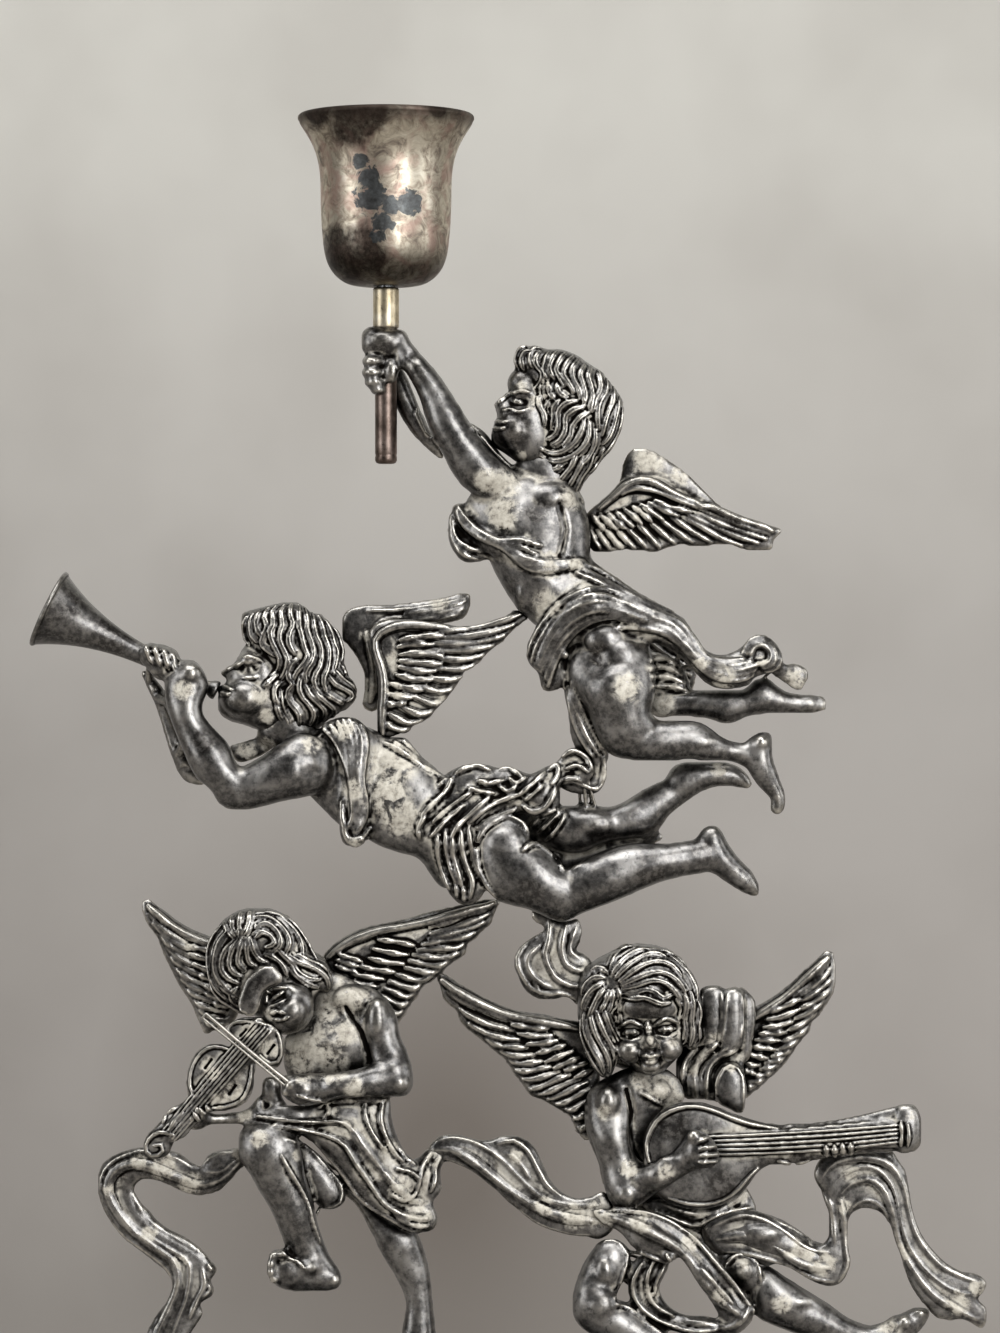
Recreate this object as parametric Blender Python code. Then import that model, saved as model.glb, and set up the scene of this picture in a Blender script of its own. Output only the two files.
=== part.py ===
"""Cherub candle holder: four winged figures on a weighted round foot, the topmost lifting a candle cup.

The figures, wings, instruments and ribbons are separate castings soldered where they meet. They are drawn
in the casting plane: across to the right, height above the top of the mound, and relief towards the front,
in millimetres.
The object stands on z = 0, its front faces -Y, and the foot's axis is the z axis.
"""

import math

import bmesh
import bpy
from mathutils import Matrix, Vector
from mathutils.bvhtree import BVHTree

MM = 0.001

# Clearances
SOLDER_GAP = 0.3
RUNNING_GAP = 0.3

# Weighted foot
FOOT_RADIUS = 60.0
FOOT_HEIGHT = 18.0
FOOT_RIM_HEIGHT = 3.0
FOOT_TABLE_RADIUS = 37.0
FOOT_WALL = 1.6
FELT_THICKNESS = 1.5
FELT_PROUD = 0.5
WEIGHT_THICKNESS = 9.0
WEIGHT_RADIUS = 43.0

# Screws from the foot into the mound
FOOT_SCREW_COUNT = 3
FOOT_SCREW_PITCH = 22.0
FOOT_SCREW_RADIUS = 2.0
FOOT_SCREW_HEAD_RADIUS = 3.8
FOOT_SCREW_HEAD_HEIGHT = 2.6
FOOT_SCREW_GRIP = 7.0

# Cast mound under the figures
MOUND_HEIGHT = 14.0
MOUND_DEPTH = 12.0

# Candle cup and its stem
CUP_ACROSS = -22.8
CUP_BOTTOM = 230.8
CUP_HEIGHT = 34.6
CUP_BODY_RADIUS = 12.9
CUP_LIP_RADIUS = 17.5
CUP_WALL = 1.2
CUP_FLOOR_RADIUS = 7.5
CUP_RECESS_DEPTH = 0.2
STEM_RADIUS = 2.6
STEM_TAIL_RADIUS = 2.2
STEM_STEP = 222.0
STEM_END = 195.2
CUP_SCREW_RADIUS = 1.5
CUP_SCREW_HEAD_RADIUS = 2.9
CUP_SCREW_HEAD_HEIGHT = 1.6
CUP_SCREW_GRIP = 7.0

# Instruments
TRUMPET_MOUTHPIECE = (-56.6, 149.8, 0.0)
TRUMPET_BELL = (-90.6, 166.4, 0.0)
TRUMPET_BELL_RADIUS = 8.2
TRUMPET_PIPE_RADIUS = 1.5
TRUMPET_WALL = 0.7
VIOLIN_BUTTON = (-45.0, 86.6, 8.0)
VIOLIN_SCROLL = (-67.6, 60.0, 8.0)
VIOLIN_BODY_LENGTH = 23.5
VIOLIN_HALF_WIDTH = 6.8
VIOLIN_THICKNESS = 3.4
BOW_TIP = (-58.4, 85.6, 11.6)
BOW_FROG = (-40.6, 71.0, 11.6)
BOW_RADIUS = 0.7
LUTE_END = (27.6, 57.0, 6.5)
LUTE_HEAD = (83.2, 63.6, 6.5)
LUTE_BODY_LENGTH = 29.0
LUTE_HALF_WIDTH = 10.4
LUTE_DEPTH = 7.0
LUTE_NECK_HALF_WIDTH = 3.8

# Flesh and hair
HEAD_RADIUS = 9.0
HAIR_DEPTH = 1.5
FEATHER_THICKNESS = 1.4
FEATHER_OVERLAP = 0.6

# How finely each sort of casting is drawn
FIGURE_GRAIN = 0.8
WING_GRAIN = 0.6
FIGURE_FACES = 1150
WING_FACES = 340
RIBBON_FACES = 340
LEFT_RIBBON_FACES = 620
RIGHT_RIBBON_FACES = 560
MANTLE_FACES = 420
INSTRUMENT_FACES = 340
LUTE_FACES = 420
BOW_FACES = 160
BOW_GRAIN = 0.3
MOUND_FACES = 720
MOUND_GRAIN = 1.2

TABLE_TOP = FOOT_HEIGHT
MOUND_TOP = TABLE_TOP + MOUND_HEIGHT

SILVER = ("tarnished_silver_plate", (0.30, 0.28, 0.26), 0.28, 1.0)
CUP_SILVER = ("spun_silver_plate", (0.40, 0.36, 0.33), 0.24, 1.0)
BRASS = ("worn_brass", (0.58, 0.47, 0.26), 0.3, 1.0)
STEEL = ("zinc_plated_steel", (0.55, 0.55, 0.56), 0.35, 1.0)
IRON = ("cast_iron", (0.10, 0.10, 0.10), 0.7, 1.0)
FELT = ("green_felt", (0.05, 0.12, 0.07), 0.95, 0.0)


# Figures, drawn in the casting plane

# A limb is a list of stations: across, height, relief and radius.
TORCH_LIMBS = {
    "torso": [
        (20, 162, 0, 9.4), (11.6, 172, 0, 8.6), (6.8, 183, 0, 9.4), (7.6, 192, 0, 5.6),
        (9.4, 198, 0, 4.6),
    ],
    "near_arm": [
        (2, 188, 4, 6.4), (-3.6, 195, 5, 4.8), (-9, 202, 5.2, 4), (-14.4, 209.6, 4.6, 3.4),
        (-19.4, 217, 2, 2.8),
    ],
    "far_arm": [(1, 190.6, -3, 6), (-7, 198, -5, 4.6), (-13.6, 203, -5, 3.4), (-19.6, 209, -2.5, 2.6)],
    "near_leg": [
        (21, 157, 3, 8.4), (23, 149, 4.5, 7.4), (25.8, 140.6, 5, 5), (32, 139.4, 5, 3.8),
        (39, 139.4, 4.6, 3.6), (47.6, 138, 4.2, 2.5),
    ],
    "near_foot": [(52.4, 139.6, 4, 2.8), (54, 133, 4, 2.5), (55.2, 127, 4, 1.7)],
    "near_ankle": [(46, 138.2, 4.2, 2.5), (52.4, 138.6, 4, 2.7)],
    "far_leg": [
        (28, 150, -3, 6), (33, 147, -3.5, 4.4), (40, 146.6, -3.5, 4.2), (47.6, 147.4, -3.5, 3.3),
        (53.4, 148.2, -3.5, 2.8),
    ],
    "far_foot": [(53, 150, -3.5, 2.6), (59, 147.4, -3.5, 2.2), (65, 147.2, -3.5, 1.8)],
}
TORCH_CLOTH = {
    "chest_sash": [
        (-9, 186.4, 3, 1.8), (-6, 181, 6, 2.2), (1, 178.4, 8.5, 2), (10, 176.8, 9, 1.8),
        (18, 176, 5, 1.6),
    ],
    "sash_bulge": [
        (-9.4, 183.4, 1, 2.2), (-7.6, 178.4, 1, 2.8), (-2.6, 176.8, 3, 2.2), (4, 174.4, 7, 1.8),
        (13, 173, 8, 1.6),
    ],
    "back_fall": [
        (18, 175, 4, 3), (25, 169.4, 3, 4.5), (33, 165.4, 2, 4.4), (39, 160, 1.5, 3.8),
        (46, 155.8, 1, 3.2), (53, 154.4, 1, 2.8),
    ],
    "hip_roll": [
        (28, 165.6, 7, 2.6), (20, 167, 9.5, 2.8), (13.6, 163.4, 9.5, 3), (9.8, 157.6, 7, 3.2),
        (10.4, 152, 5, 3),
    ],
    "front_roll": [(8, 163, 5, 2.6), (7.4, 157, 4, 2.6), (10, 151.4, 3, 2.6), (14, 152, 4, 2.2)],
    "front_tail": [
        (13.6, 152, 2, 2), (15.6, 144, 1, 2), (19.4, 138, 0.5, 2.2), (20.4, 133, 0, 2.2),
        (18.6, 129.6, 0, 1.8),
    ],
    "thigh_edge": [
        (22, 161.6, 8, 2.2), (30, 161, 7, 2.4), (37, 156, 5, 2.4), (43, 152.2, 3, 2.2),
        (49, 152.4, 2, 2),
    ],
    "knot": [
        (47.6, 157, 1, 2.6), (52, 159.4, 1, 3.2), (55.4, 155.6, 1, 3), (59.6, 153.2, 0, 3),
        (61, 154.6, 0, 1.8),
    ],
}
TORCH_HANDS = [
    ((-23, 219, 0.6), (5, 3.5, 5)),
    ((-24.4, 213.2, 0), (3.8, 4.2, 4.6)),
]

TRUMPET_LIMBS = {
    "torso": [
        (-44.6, 144, 0, 4.4), (-38.6, 139, 0, 6.4), (-30, 132, 0, 9.2), (-17.6, 125.6, 0, 8.2),
        (-6, 120.4, 0, 9.4), (3, 116, 1, 8.6),
    ],
    "near_arm": [
        (-38, 136.6, 5, 7.2), (-45.6, 133.4, 7, 5.3), (-52, 131.8, 7.5, 4.7), (-57.4, 137, 7, 4.2),
        (-60.8, 143.6, 5, 3.9), (-62.2, 149, 3, 3.5),
    ],
    "far_arm": [
        (-44, 138.4, -3, 4.6), (-61.6, 134.4, -4.4, 3), (-65.4, 141, -4.4, 2.7),
        (-69, 150, -3, 2.4), (-69.4, 154, -1.6, 2.4),
    ],
    "near_leg": [
        (3, 115.4, 3, 8.8), (12, 110.6, 4, 5.8), (23, 112.4, 4.5, 4.8), (33, 115.6, 4.5, 3.4),
        (40, 117, 4.5, 3),
    ],
    "near_foot": [(42.2, 120.6, 4.5, 2.8), (45.6, 115.6, 4.5, 2.7), (50.2, 111, 4.5, 2)],
    "far_leg": [
        (6, 120, -3, 6), (16, 121.4, -4, 5), (25, 122.6, -4, 4.6), (31.6, 125.4, -4, 3.9),
        (37.6, 130.6, -4, 3),
    ],
    "far_foot": [(37, 132.8, -4, 2.6), (43.6, 132.8, -4, 2.4), (49.4, 131.4, -4, 1.9)],
}
TRUMPET_CLOTH = {
    "shoulder_fold_1": [(-33.6, 143, 6, 1.7), (-31.6, 132, 8.5, 1.9), (-30.4, 121, 6, 2.4)],
    "shoulder_fold_2": [(-30, 143.6, 6, 1.8), (-29, 132, 9.4, 2), (-28.6, 121, 6.4, 2.4)],
    "shoulder_fold_3": [(-26.6, 143.6, 5, 1.8), (-25.8, 133, 8.4, 1.8), (-27, 122.4, 6, 2.2)],
    "loin_fold_1": [
        (-9, 132.6, 4, 2.4), (-11, 124, 8, 2.6), (-9.2, 115, 7, 2.4), (-12, 109.4, 4, 2.4),
        (-15.4, 105.6, 2, 2),
    ],
    "loin_fold_2": [
        (-3, 130, 6, 2.4), (-7, 122, 9.4, 2.4), (-5.6, 114, 8, 2.4), (-6.4, 108.6, 4, 2.2),
        (-10.4, 106.4, 2, 2),
    ],
    "back_bunch_1": [
        (-10, 132.6, 3, 2.2), (-3, 133.6, 2, 3), (4, 131.6, 2, 3.4), (10.6, 132.4, 1, 3),
        (13.6, 135.4, 0, 2.6), (14.4, 139, 0, 2),
    ],
    "back_bunch_2": [(-1, 128, 6, 2.4), (6.6, 128.6, 5, 2.8), (12, 129.6, 3, 2.4)],
}
TRUMPET_HANDS = [
    ((-62.2, 152.8, 1.4), (4.4, 3.8, 4.4)),
    ((-67.8, 155.6, 0.4), (3.6, 3.2, 4)),
]

VIOLIN_LIMBS = {
    "torso": [(-36, 88, 0, 4.8), (-33.4, 80, 0, 8.8), (-32.4, 70, 0, 8.2), (-31.4, 61, 0, 9)],
    "bow_arm": [
        (-28.6, 86, 2, 6.6), (-23.4, 78, 4, 5.5), (-20.4, 72.8, 5.6, 4.5), (-30, 72, 8, 3.5),
        (-38, 71.6, 9, 3.1),
    ],
    "neck_arm": [(-38, 68, 4, 4), (-47.6, 66.4, 6, 3), (-54.4, 65.6, 6.4, 2.6), (-59, 66.6, 6.6, 2.6)],
    "raised_leg": [
        (-35, 61.6, 3, 7.6), (-46, 59.6, 6, 6), (-44, 51, 6.6, 4.9), (-40.2, 43, 6.2, 3.9),
        (-37.4, 37.6, 5.6, 3.2),
    ],
    "raised_foot": [(-34.6, 34.6, 5.4, 3.5), (-40, 34.2, 6.4, 3.2), (-43.6, 35, 7, 3)],
    "bent_thigh": [(-36, 60, 3, 5.6), (-34, 52.4, 3, 4.8), (-33, 49.4, 3, 4.2)],
    "standing_leg": [
        (-28, 56, -2, 7), (-23, 47, -2.4, 5.3), (-19.4, 38, -2.4, 4.2), (-17, 30, -2, 3.4),
        (-15.6, 20, -2, 3.5), (-15, 7, -2, 2.5),
    ],
    "standing_foot": [(-16, 3, -2.4, 2.7), (-12.6, 2.2, 0.4, 2.4), (-9.6, 1.6, 2.4, 1.9)],
}
VIOLIN_CLOTH = {
    "waist_fold": [
        (-44.6, 65, 7, 1.8), (-36, 64.4, 9, 2.2), (-29, 59, 8.6, 2.6), (-23, 51, 6, 3),
        (-18, 46, 3, 3.4), (-15.4, 45.4, 1, 2.8),
    ],
    "middle_fold": [(-34, 67.4, 8.6, 2), (-27, 63, 7.6, 2.6), (-21, 56, 5, 3), (-17, 51, 3, 3.2)],
    "side_fold": [(-24, 67.4, 4.6, 2.6), (-21.8, 61, 4, 2.8), (-18.8, 54.6, 3, 3)],
    "hip_knot": [(-17, 53.6, 1.4, 2.4), (-13.8, 55.6, 1, 2.2), (-12.8, 50.4, 1, 2.4)],
}
VIOLIN_HANDS = [
    ((-41, 71.4, 9.4), (3.6, 3.4, 3.4)),
    ((-60.4, 66.4, 7), (3, 2.6, 3)),
]

LUTE_LIMBS = {
    "torso": [(29.6, 75, 0, 4.4), (31, 67, 0, 8.2), (33, 55, 0, 7.8), (36, 44, 0, 8.6)],
    "strumming_arm": [
        (22.4, 67.6, 3, 5.7), (21.6, 59, 4, 5.1), (24.6, 51.2, 5.6, 4.4), (31, 53.4, 9, 3.5),
        (37, 57.6, 11.4, 2.8),
    ],
    "strumming_hand": [(37, 57.6, 11.4, 2.8), (41, 59.6, 11.8, 2.6), (44.4, 59.4, 11.4, 1.8)],
    "neck_arm": [(42, 66, -2, 4.6), (50, 61, -3.4, 3.4), (60, 58.6, -1, 2.9), (66.4, 57.4, 3.4, 2.4)],
    "near_leg": [
        (26, 41, 4, 6.6), (21, 34, 5.6, 5.5), (19.8, 27.6, 6.6, 4.7), (28, 22.4, 7, 4.2),
        (38, 18, 5.6, 3.6), (47, 13.4, 3.4, 2.6),
    ],
    "near_foot": [(48.6, 13.6, 3, 2.7), (53, 11, 3, 2.3), (57.4, 9.6, 3, 1.8)],
    "far_leg": [
        (42, 36, 0, 7), (50, 31.4, 1, 5.6), (58, 27.4, 1, 4.8), (68, 23, 0, 3.7), (76, 21, 0, 2.8),
    ],
    "far_foot": [(78.6, 20, 0, 2.7), (81, 24, 0, 2.4), (84.4, 27, 0, 1.9)],
}
LUTE_CLOTH = {
    "sash": [(19.4, 45.4, 4, 3.2), (28, 45, 7.6, 3.4), (38, 41, 8.6, 3.4), (45, 35.6, 7.6, 3.2)],
    "upper_fold": [(28, 48.4, 6, 2.2), (40, 45.6, 7.4, 2.6), (50, 46.4, 5, 2.6)],
    "hip_band": [(40, 42, 4, 4.6), (48, 40.6, 4.4, 4.4), (53, 40, 4, 4)],
    "loop": [
        (31, 38, 6, 2.8), (28, 31, 6, 2.6), (31, 26, 5.6, 2.8), (39, 24.2, 5, 2.8),
        (46, 26.4, 5, 3), (49, 31, 6, 3), (44.4, 36.4, 7, 3),
    ],
}
LUTE_HANDS = [
    ((67.6, 57.6, 6), (2.8, 2.4, 3.4)),
]

# Heads: centre, the way the face looks and the way its crown points, both in the casting plane's axes.
HEADS = {
    "torch": ((10.8, 205, 0.5), (-0.9, 0.42, 0.14), (0.42, 0.9, 0)),
    "trumpet": ((-44.6, 154.4, 0.5), (-0.96, 0.22, 0.14), (0.22, 0.97, 0)),
    "violin": ((-47.6, 93.6, 2.5), (0.4, -0.4, 0.82), (-0.42, 0.84, 0.3)),
    "lute": ((28.4, 85.4, 2), (0.1, -0.06, 0.99), (-0.06, 0.99, 0.06)),
}
# Fat locks that give the hair its outline.
HAIR = {
    "torch": [
        [(4, 214.6, 0, 2), (10, 217, 2, 2.4), (16.6, 215, 3, 2.4), (21.6, 209, 3, 2.2)],
        [(8, 211, 7, 2), (14, 210, 8, 2.2), (19, 204, 7, 2.4), (20, 197, 5, 2.2)],
        [(9, 205, 8, 2), (13.6, 202, 8, 2.2), (15, 196, 6, 2.2), (15.4, 190.6, 3, 1.8)],
        [(21, 205, 0, 2.4), (21.4, 199, 0, 2.4), (18, 193.4, 0, 2.2), (15.6, 190, 0, 1.6)],
    ],
    "trumpet": [
        [
            (-50.4, 163.6, 0, 2.4), (-42, 166, 0, 2.6), (-34.6, 161, 0, 2.6), (-32.6, 153, 0, 2.4),
            (-31, 149, 0, 1.8),
        ],
        [(-46, 164, 6, 2.4), (-40, 158, 8, 2.6), (-38, 151, 8, 2.6), (-36, 146, 7, 2)],
        [(-44, 158, 8, 2.2), (-42, 151, 9, 2.4), (-40, 145, 8, 2)],
        [(-37, 160, 3, 2.6), (-33.6, 152, 4, 2.6), (-31.4, 147.6, 4, 2)],
    ],
    "violin": [
        [(-56.6, 98, 4, 2.6), (-57.4, 92, 6, 2.6), (-54, 86.6, 7, 2.4), (-51, 84.6, 8, 1.8)],
        [(-52, 103, 6, 2.6), (-45, 104, 6, 2.6), (-39.6, 98, 5, 2.4), (-35.4, 92, 4, 2.2)],
        [(-50, 100, 9, 2.4), (-54.4, 95, 9.4, 2.4), (-52, 90.6, 10, 2)],
    ],
    "lute": [
        [(22.4, 92, 5, 2.4), (17.8, 86, 4.6, 2.6), (18, 78, 4, 2.6), (21.6, 73.6, 4.4, 2.2)],
        [(22, 93.6, 8, 2), (29, 96.4, 7, 2.6), (36, 92, 6, 2.6), (37.8, 84, 4, 2.4)],
        [(23, 92.6, 9.6, 1.8), (29, 91.8, 10.6, 2), (35, 89.4, 9, 2)],
    ],
}

# A wing: its leading edge from root to tip, its trailing edge from tip to root, and its feather count.
WINGS = {
    "torch_near": (
        [
            (17, 180.6, -1, 2), (21, 186, -2, 2.4), (25.4, 191.6, -3, 2.8),
            (28.6, 195.4, -3.4, 2.4), (34, 192.6, -4, 2.2), (42, 186.4, -4.4, 1.8),
            (55.4, 181.6, -5, 1.1),
        ],
        [(55, 180.2), (49, 178.6), (40, 179.2), (31, 178.6), (24, 178.2), (18.4, 178.8)],
        9,
    ),
    "torch_far": (
        [(14, 180, -7, 2), (24, 176, -8.6, 2.2), (32, 166, -8.6, 2), (38, 150.4, -8, 1.2)],
        [(37, 150), (33.4, 150), (29, 153), (24, 158), (19, 165), (14, 173)],
        8,
    ),
    "trumpet_near": (
        [
            (-26, 139, 1, 2), (-26.4, 150, 2, 2), (-25.6, 158.6, 2, 2.2), (-21.6, 163, 2, 2.4),
            (-12, 163.4, 2, 2), (-3, 161.6, 1.4, 1.8), (4.2, 165.2, 0.6, 1.4),
        ],
        [(4, 163.8), (-2, 158.6), (-7, 153), (-12, 147), (-19, 142), (-24, 140)],
        10,
    ),
    "trumpet_far": (
        [
            (-27, 145, -3, 2.2), (-27.6, 154, -3.4, 1.9), (-30, 160, -3.4, 1.9),
            (-30.2, 163.2, -3.6, 2.2), (-27, 164.8, -3.6, 2.2), (-18, 165.4, -3.6, 1.9),
            (-6.8, 167.8, -3.6, 1.1),
        ],
        [(-6.6, 166.8), (-9, 163.8), (-14, 161), (-20, 156), (-25, 148)],
        6,
    ),
    "violin_left": (
        [
            (-46, 90, -4, 2.4), (-55.6, 96, -4, 2.2), (-62, 100.2, -4, 2), (-67, 103.8, -4, 1.5),
            (-70.8, 107.2, -4, 1),
        ],
        [(-70.6, 105.4), (-67, 96.6), (-63.6, 89.2), (-60.4, 84), (-56.4, 80.4), (-50, 82)],
        8,
    ),
    "violin_right": (
        [
            (-33, 88, -4, 2.4), (-34.4, 96, -3, 2.2), (-28, 101.6, -3, 2.2), (-18, 103.6, -3, 2),
            (-9, 105.8, -3, 1.6), (-1, 108, -3, 1),
        ],
        [
            (-1.2, 106.4), (-4.6, 101.6), (-8.6, 97), (-13, 92.2), (-17, 87), (-20.2, 84),
            (-26, 85),
        ],
        9,
    ),
    "lute_left": (
        [
            (22, 76, -4, 2.4), (15, 83, -3, 2.2), (6, 83.8, -3, 2.2), (-2, 85.8, -3, 1.8),
            (-7.6, 89, -3, 1.4), (-12, 91.8, -3, 1),
        ],
        [(-11, 89.8), (-7.6, 83.2), (-2, 77.8), (2.4, 72.2), (9, 67.6), (15.4, 61.6), (20, 66)],
        9,
    ),
    "lute_right": (
        [(42, 76, -5, 2.4), (50.6, 84.6, -4, 2), (58, 90.8, -3.6, 1.8), (66.2, 96.8, -3, 1)],
        [(67, 93.8), (65.4, 86.2), (61.6, 81.2), (57.6, 76.2), (53, 72.2), (48.6, 69)],
        8,
    ),
}

# A ribbon's stations: across, height, relief, half width and half thickness.
RIBBONS = {
    "left": [
        (-50.6, 56.6, 3, 2.4, 1.6), (-55.6, 53, 3, 2.8, 1.7), (-61, 52.2, 3, 3, 1.7),
        (-67, 54.2, 3, 3.2, 1.7), (-71.6, 54.6, 2, 3.2, 1.8), (-76, 52.4, 1, 3.4, 2),
        (-77.6, 48, 0, 3.6, 2.4), (-75, 43, 0, 4, 2), (-69.6, 39, 1, 4, 1.7),
        (-64, 35.6, 1, 4, 1.7), (-61.4, 31.6, 1, 3.8, 1.8), (-62.4, 26.6, 0, 3.4, 1.9),
        (-65.6, 21, -1, 3.8, 1.9), (-66.6, 14.4, -1, 3.4, 2), (-62, 8.8, 0, 3.2, 2),
        (-54, 5.4, 1, 3.2, 2), (-45, 2.6, 1, 3.4, 2), (-36, -1.4, 1, 3.6, 2.2),
    ],
    "middle": [
        (-17.4, 51, 1.6, 2.4, 2), (-13, 54.6, 1.4, 2.4, 2), (-11.6, 58.2, 1, 2.4, 1.8),
        (-8, 59.2, 1, 2.4, 1.8), (-2, 56, 1, 3, 1.7), (4, 51.2, 1.6, 3.4, 1.7),
        (11, 46.6, 2.4, 3.2, 1.7), (19, 45.4, 4, 3, 1.8),
    ],
    "middle_curl": [
        (-3, 58.4, 2, 1.2, 1.4), (3.6, 58, 2.6, 1.9, 1.5), (8, 52.6, 3, 2, 1.5),
        (12, 47.6, 3, 1.8, 1.5),
    ],
    "right": [
        (46, 39.6, 4, 4.2, 1.8), (54, 39.6, 3.6, 4.2, 1.8), (62, 36.2, 3, 3.8, 1.8),
        (67.4, 35.8, 3, 2.8, 2), (68, 43, 3, 2.2, 2), (67.2, 49.6, 3.4, 2.4, 2),
        (70, 54.4, 4, 3.2, 1.8), (75, 55, 4, 3.8, 1.8), (79, 50.6, 3.6, 3.4, 1.8),
        (81, 44, 3, 2.8, 1.8), (83.6, 37, 3, 3.2, 1.8), (89, 30.6, 3, 4.2, 1.7),
        (94.6, 26.8, 3, 4.2, 1.6),
    ],
    "crest": [
        (13.2, 105, 2, 2.2, 1.8), (10.6, 100, 2, 2.4, 1.8), (6.4, 96.6, 2, 2.6, 1.6),
        (5.4, 93.4, 2, 2.6, 1.6), (8.4, 90.8, 2, 2.4, 1.6), (13, 90.2, 2, 2.4, 1.6),
        (17.6, 91, 2, 2.2, 1.8),
    ],
    "crest_curl": [
        (14.2, 103.6, 3, 1.8, 1.5), (12.6, 98, 3.4, 1.8, 1.5), (14.2, 94.4, 3, 1.9, 1.5),
        (18.6, 93.4, 2.6, 1.8, 1.5),
    ],
}
MOUND_LUMPS = [
    ((-31, -7), (9, 6)),
    ((-17, -5), (10, 6)),
    ((-3, -6), (11, 7)),
    ((11, -3), (10, 8)),
    ((24, 0), (10, 11)),
    ((36, -3), (9, 9)),
    ((30, 6), (8, 8)),
    ((38, 8), (6.5, 7)),
]


# Drawing tools


def stand(across, height, relief):
    """A point of the casting plane as a point of the object, in metres."""
    return Vector((across, -relief, height + MOUND_TOP)) * MM


def through(stations, steps):
    """Stations on one smooth curve through the given ones, by Catmull-Rom."""
    ends = [stations[0]] + list(stations) + [stations[-1]]
    smooth = []
    for a, b, c, d in zip(ends, ends[1:], ends[2:], ends[3:]):
        for k in range(steps):
            t = k / steps
            smooth.append([
                q + 0.5 * t * ((r - p) + t * ((2 * p - 5 * q + 4 * r - s) + t * (3 * q - p - 3 * r + s)))
                for p, q, r, s in zip(a, b, c, d)
            ])
    return smooth + [list(stations[-1])]


def sweep(bm, stations, sides=10, steps=3):
    """A closed round-ended tube through (across, height, relief, half width[, half thickness])."""
    full = [s if len(s) == 5 else (*s, s[3]) for s in stations]
    rows = [(stand(*s[:3]), s[3] * MM, s[4] * MM) for s in through(full, steps)]
    front = Vector((0, -1, 0))
    rings = []
    for i, (centre, width, thick) in enumerate(rows):
        along = (rows[min(i + 1, len(rows) - 1)][0] - rows[max(i - 1, 0)][0]).normalized()
        side = along.cross(front)
        side = side.normalized() if side.length > 0.2 else Vector((1, 0, 0))
        out = side.cross(along).normalized()
        caps = [0.0]
        if i == 0:
            caps = [-0.87, -0.5, 0.0]
        elif i == len(rows) - 1:
            caps = [0.0, 0.5, 0.87]
        for cap in caps:
            shrink = math.sqrt(1 - cap * cap)
            middle = centre + along * cap * min(width, thick)
            ring = []
            for k in range(sides):
                turn = 2 * math.pi * k / sides
                spoke = side * width * math.cos(turn) + out * thick * math.sin(turn)
                ring.append(bm.verts.new(middle + spoke * shrink))
            rings.append(ring)
    for a, b in zip(rings, rings[1:]):
        for k in range(sides):
            bm.faces.new((a[k], a[(k + 1) % sides], b[(k + 1) % sides], b[k]))
    bm.faces.new(rings[0][::-1])
    bm.faces.new(rings[-1])


def ball(bm, centre, radii, across=(1, 0, 0), up=(0, 1, 0)):
    """An ellipsoid in the casting plane: radii along its own across, up and relief directions."""
    x = Vector((across[0], -across[2], across[1])).normalized()
    z = Vector((up[0], -up[2], up[1])).normalized()
    y = z.cross(x).normalized()
    turn = Matrix((x, y, z)).transposed().to_4x4()
    size = Matrix.Diagonal((radii[0] * MM, radii[2] * MM, radii[1] * MM, 1))
    place = Matrix.Translation(stand(*centre)) @ turn @ size
    bmesh.ops.create_uvsphere(bm, u_segments=14, v_segments=9, radius=1, matrix=place)


def head(bm, name):
    """Skull, jaw, cheeks, nose and the mass of the hair."""
    centre, look, crown = (Vector(v) for v in HEADS[name])
    look.normalize()
    crown = (crown - look * crown.dot(look)).normalized()
    side = crown.cross(look)
    r = HEAD_RADIUS
    ball(bm, centre, (0.86 * r, 0.96 * r, 0.92 * r), side, crown)
    ball(bm, centre + look * 0.34 * r - crown * 0.36 * r, (0.66 * r, 0.6 * r, 0.62 * r), side, crown)
    ball(bm, centre + look * 0.7 * r - crown * 0.74 * r, (0.26 * r, 0.22 * r, 0.26 * r), side, crown)
    ball(bm, centre + look * 0.98 * r - crown * 0.2 * r, (0.14 * r, 0.15 * r, 0.2 * r), side, crown)
    hair = 0.92 * r + HAIR_DEPTH
    ball(bm, centre - look * 0.2 * r + crown * 0.14 * r, (hair, hair, hair * 0.96), side, crown)
    for lock in HAIR[name]:
        sweep(bm, lock)


def feathers(bm, name):
    """A wing: a round leading edge, and a long and a short row of blades fanned to the trailing edge."""
    lead, trail, count = WINGS[name]
    edge = through(lead, 4)
    tips = through(trail, 4)
    relief = sum(s[2] for s in lead) / len(lead)
    sweep(bm, lead, sides=8)
    roots = [edge[round((0.72 - 0.68 * k / (count - 1)) * (len(edge) - 1))] for k in range(count)]
    ends = [tips[round(k / (count - 1) * (len(tips) - 1))] for k in range(count)]
    for share, lift in ((1.0, 0.0), (0.55, 0.7)):
        for k, (root, tip) in enumerate(zip(roots, ends)):
            end = [root[i] + (tip[i] - root[i]) * share for i in (0, 1)]
            middle = [(root[i] + end[i]) / 2 for i in (0, 1)]
            beside = (k - 1 if k else 1)
            root_half = min(root[3], FEATHER_OVERLAP * math.dist(root[:2], roots[beside][:2]))
            tip_half = FEATHER_OVERLAP * max(1.6, math.dist(tip, ends[beside]))
            thick = FEATHER_THICKNESS + lift * 0.6
            sweep(bm, [
                (*root[:2], root[2], root_half, thick),
                (*middle, relief, max(root_half, (root_half + tip_half) / 2), thick),
                (*end, relief, tip_half * 0.85, thick * 0.8),
            ], sides=6, steps=2)


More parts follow.
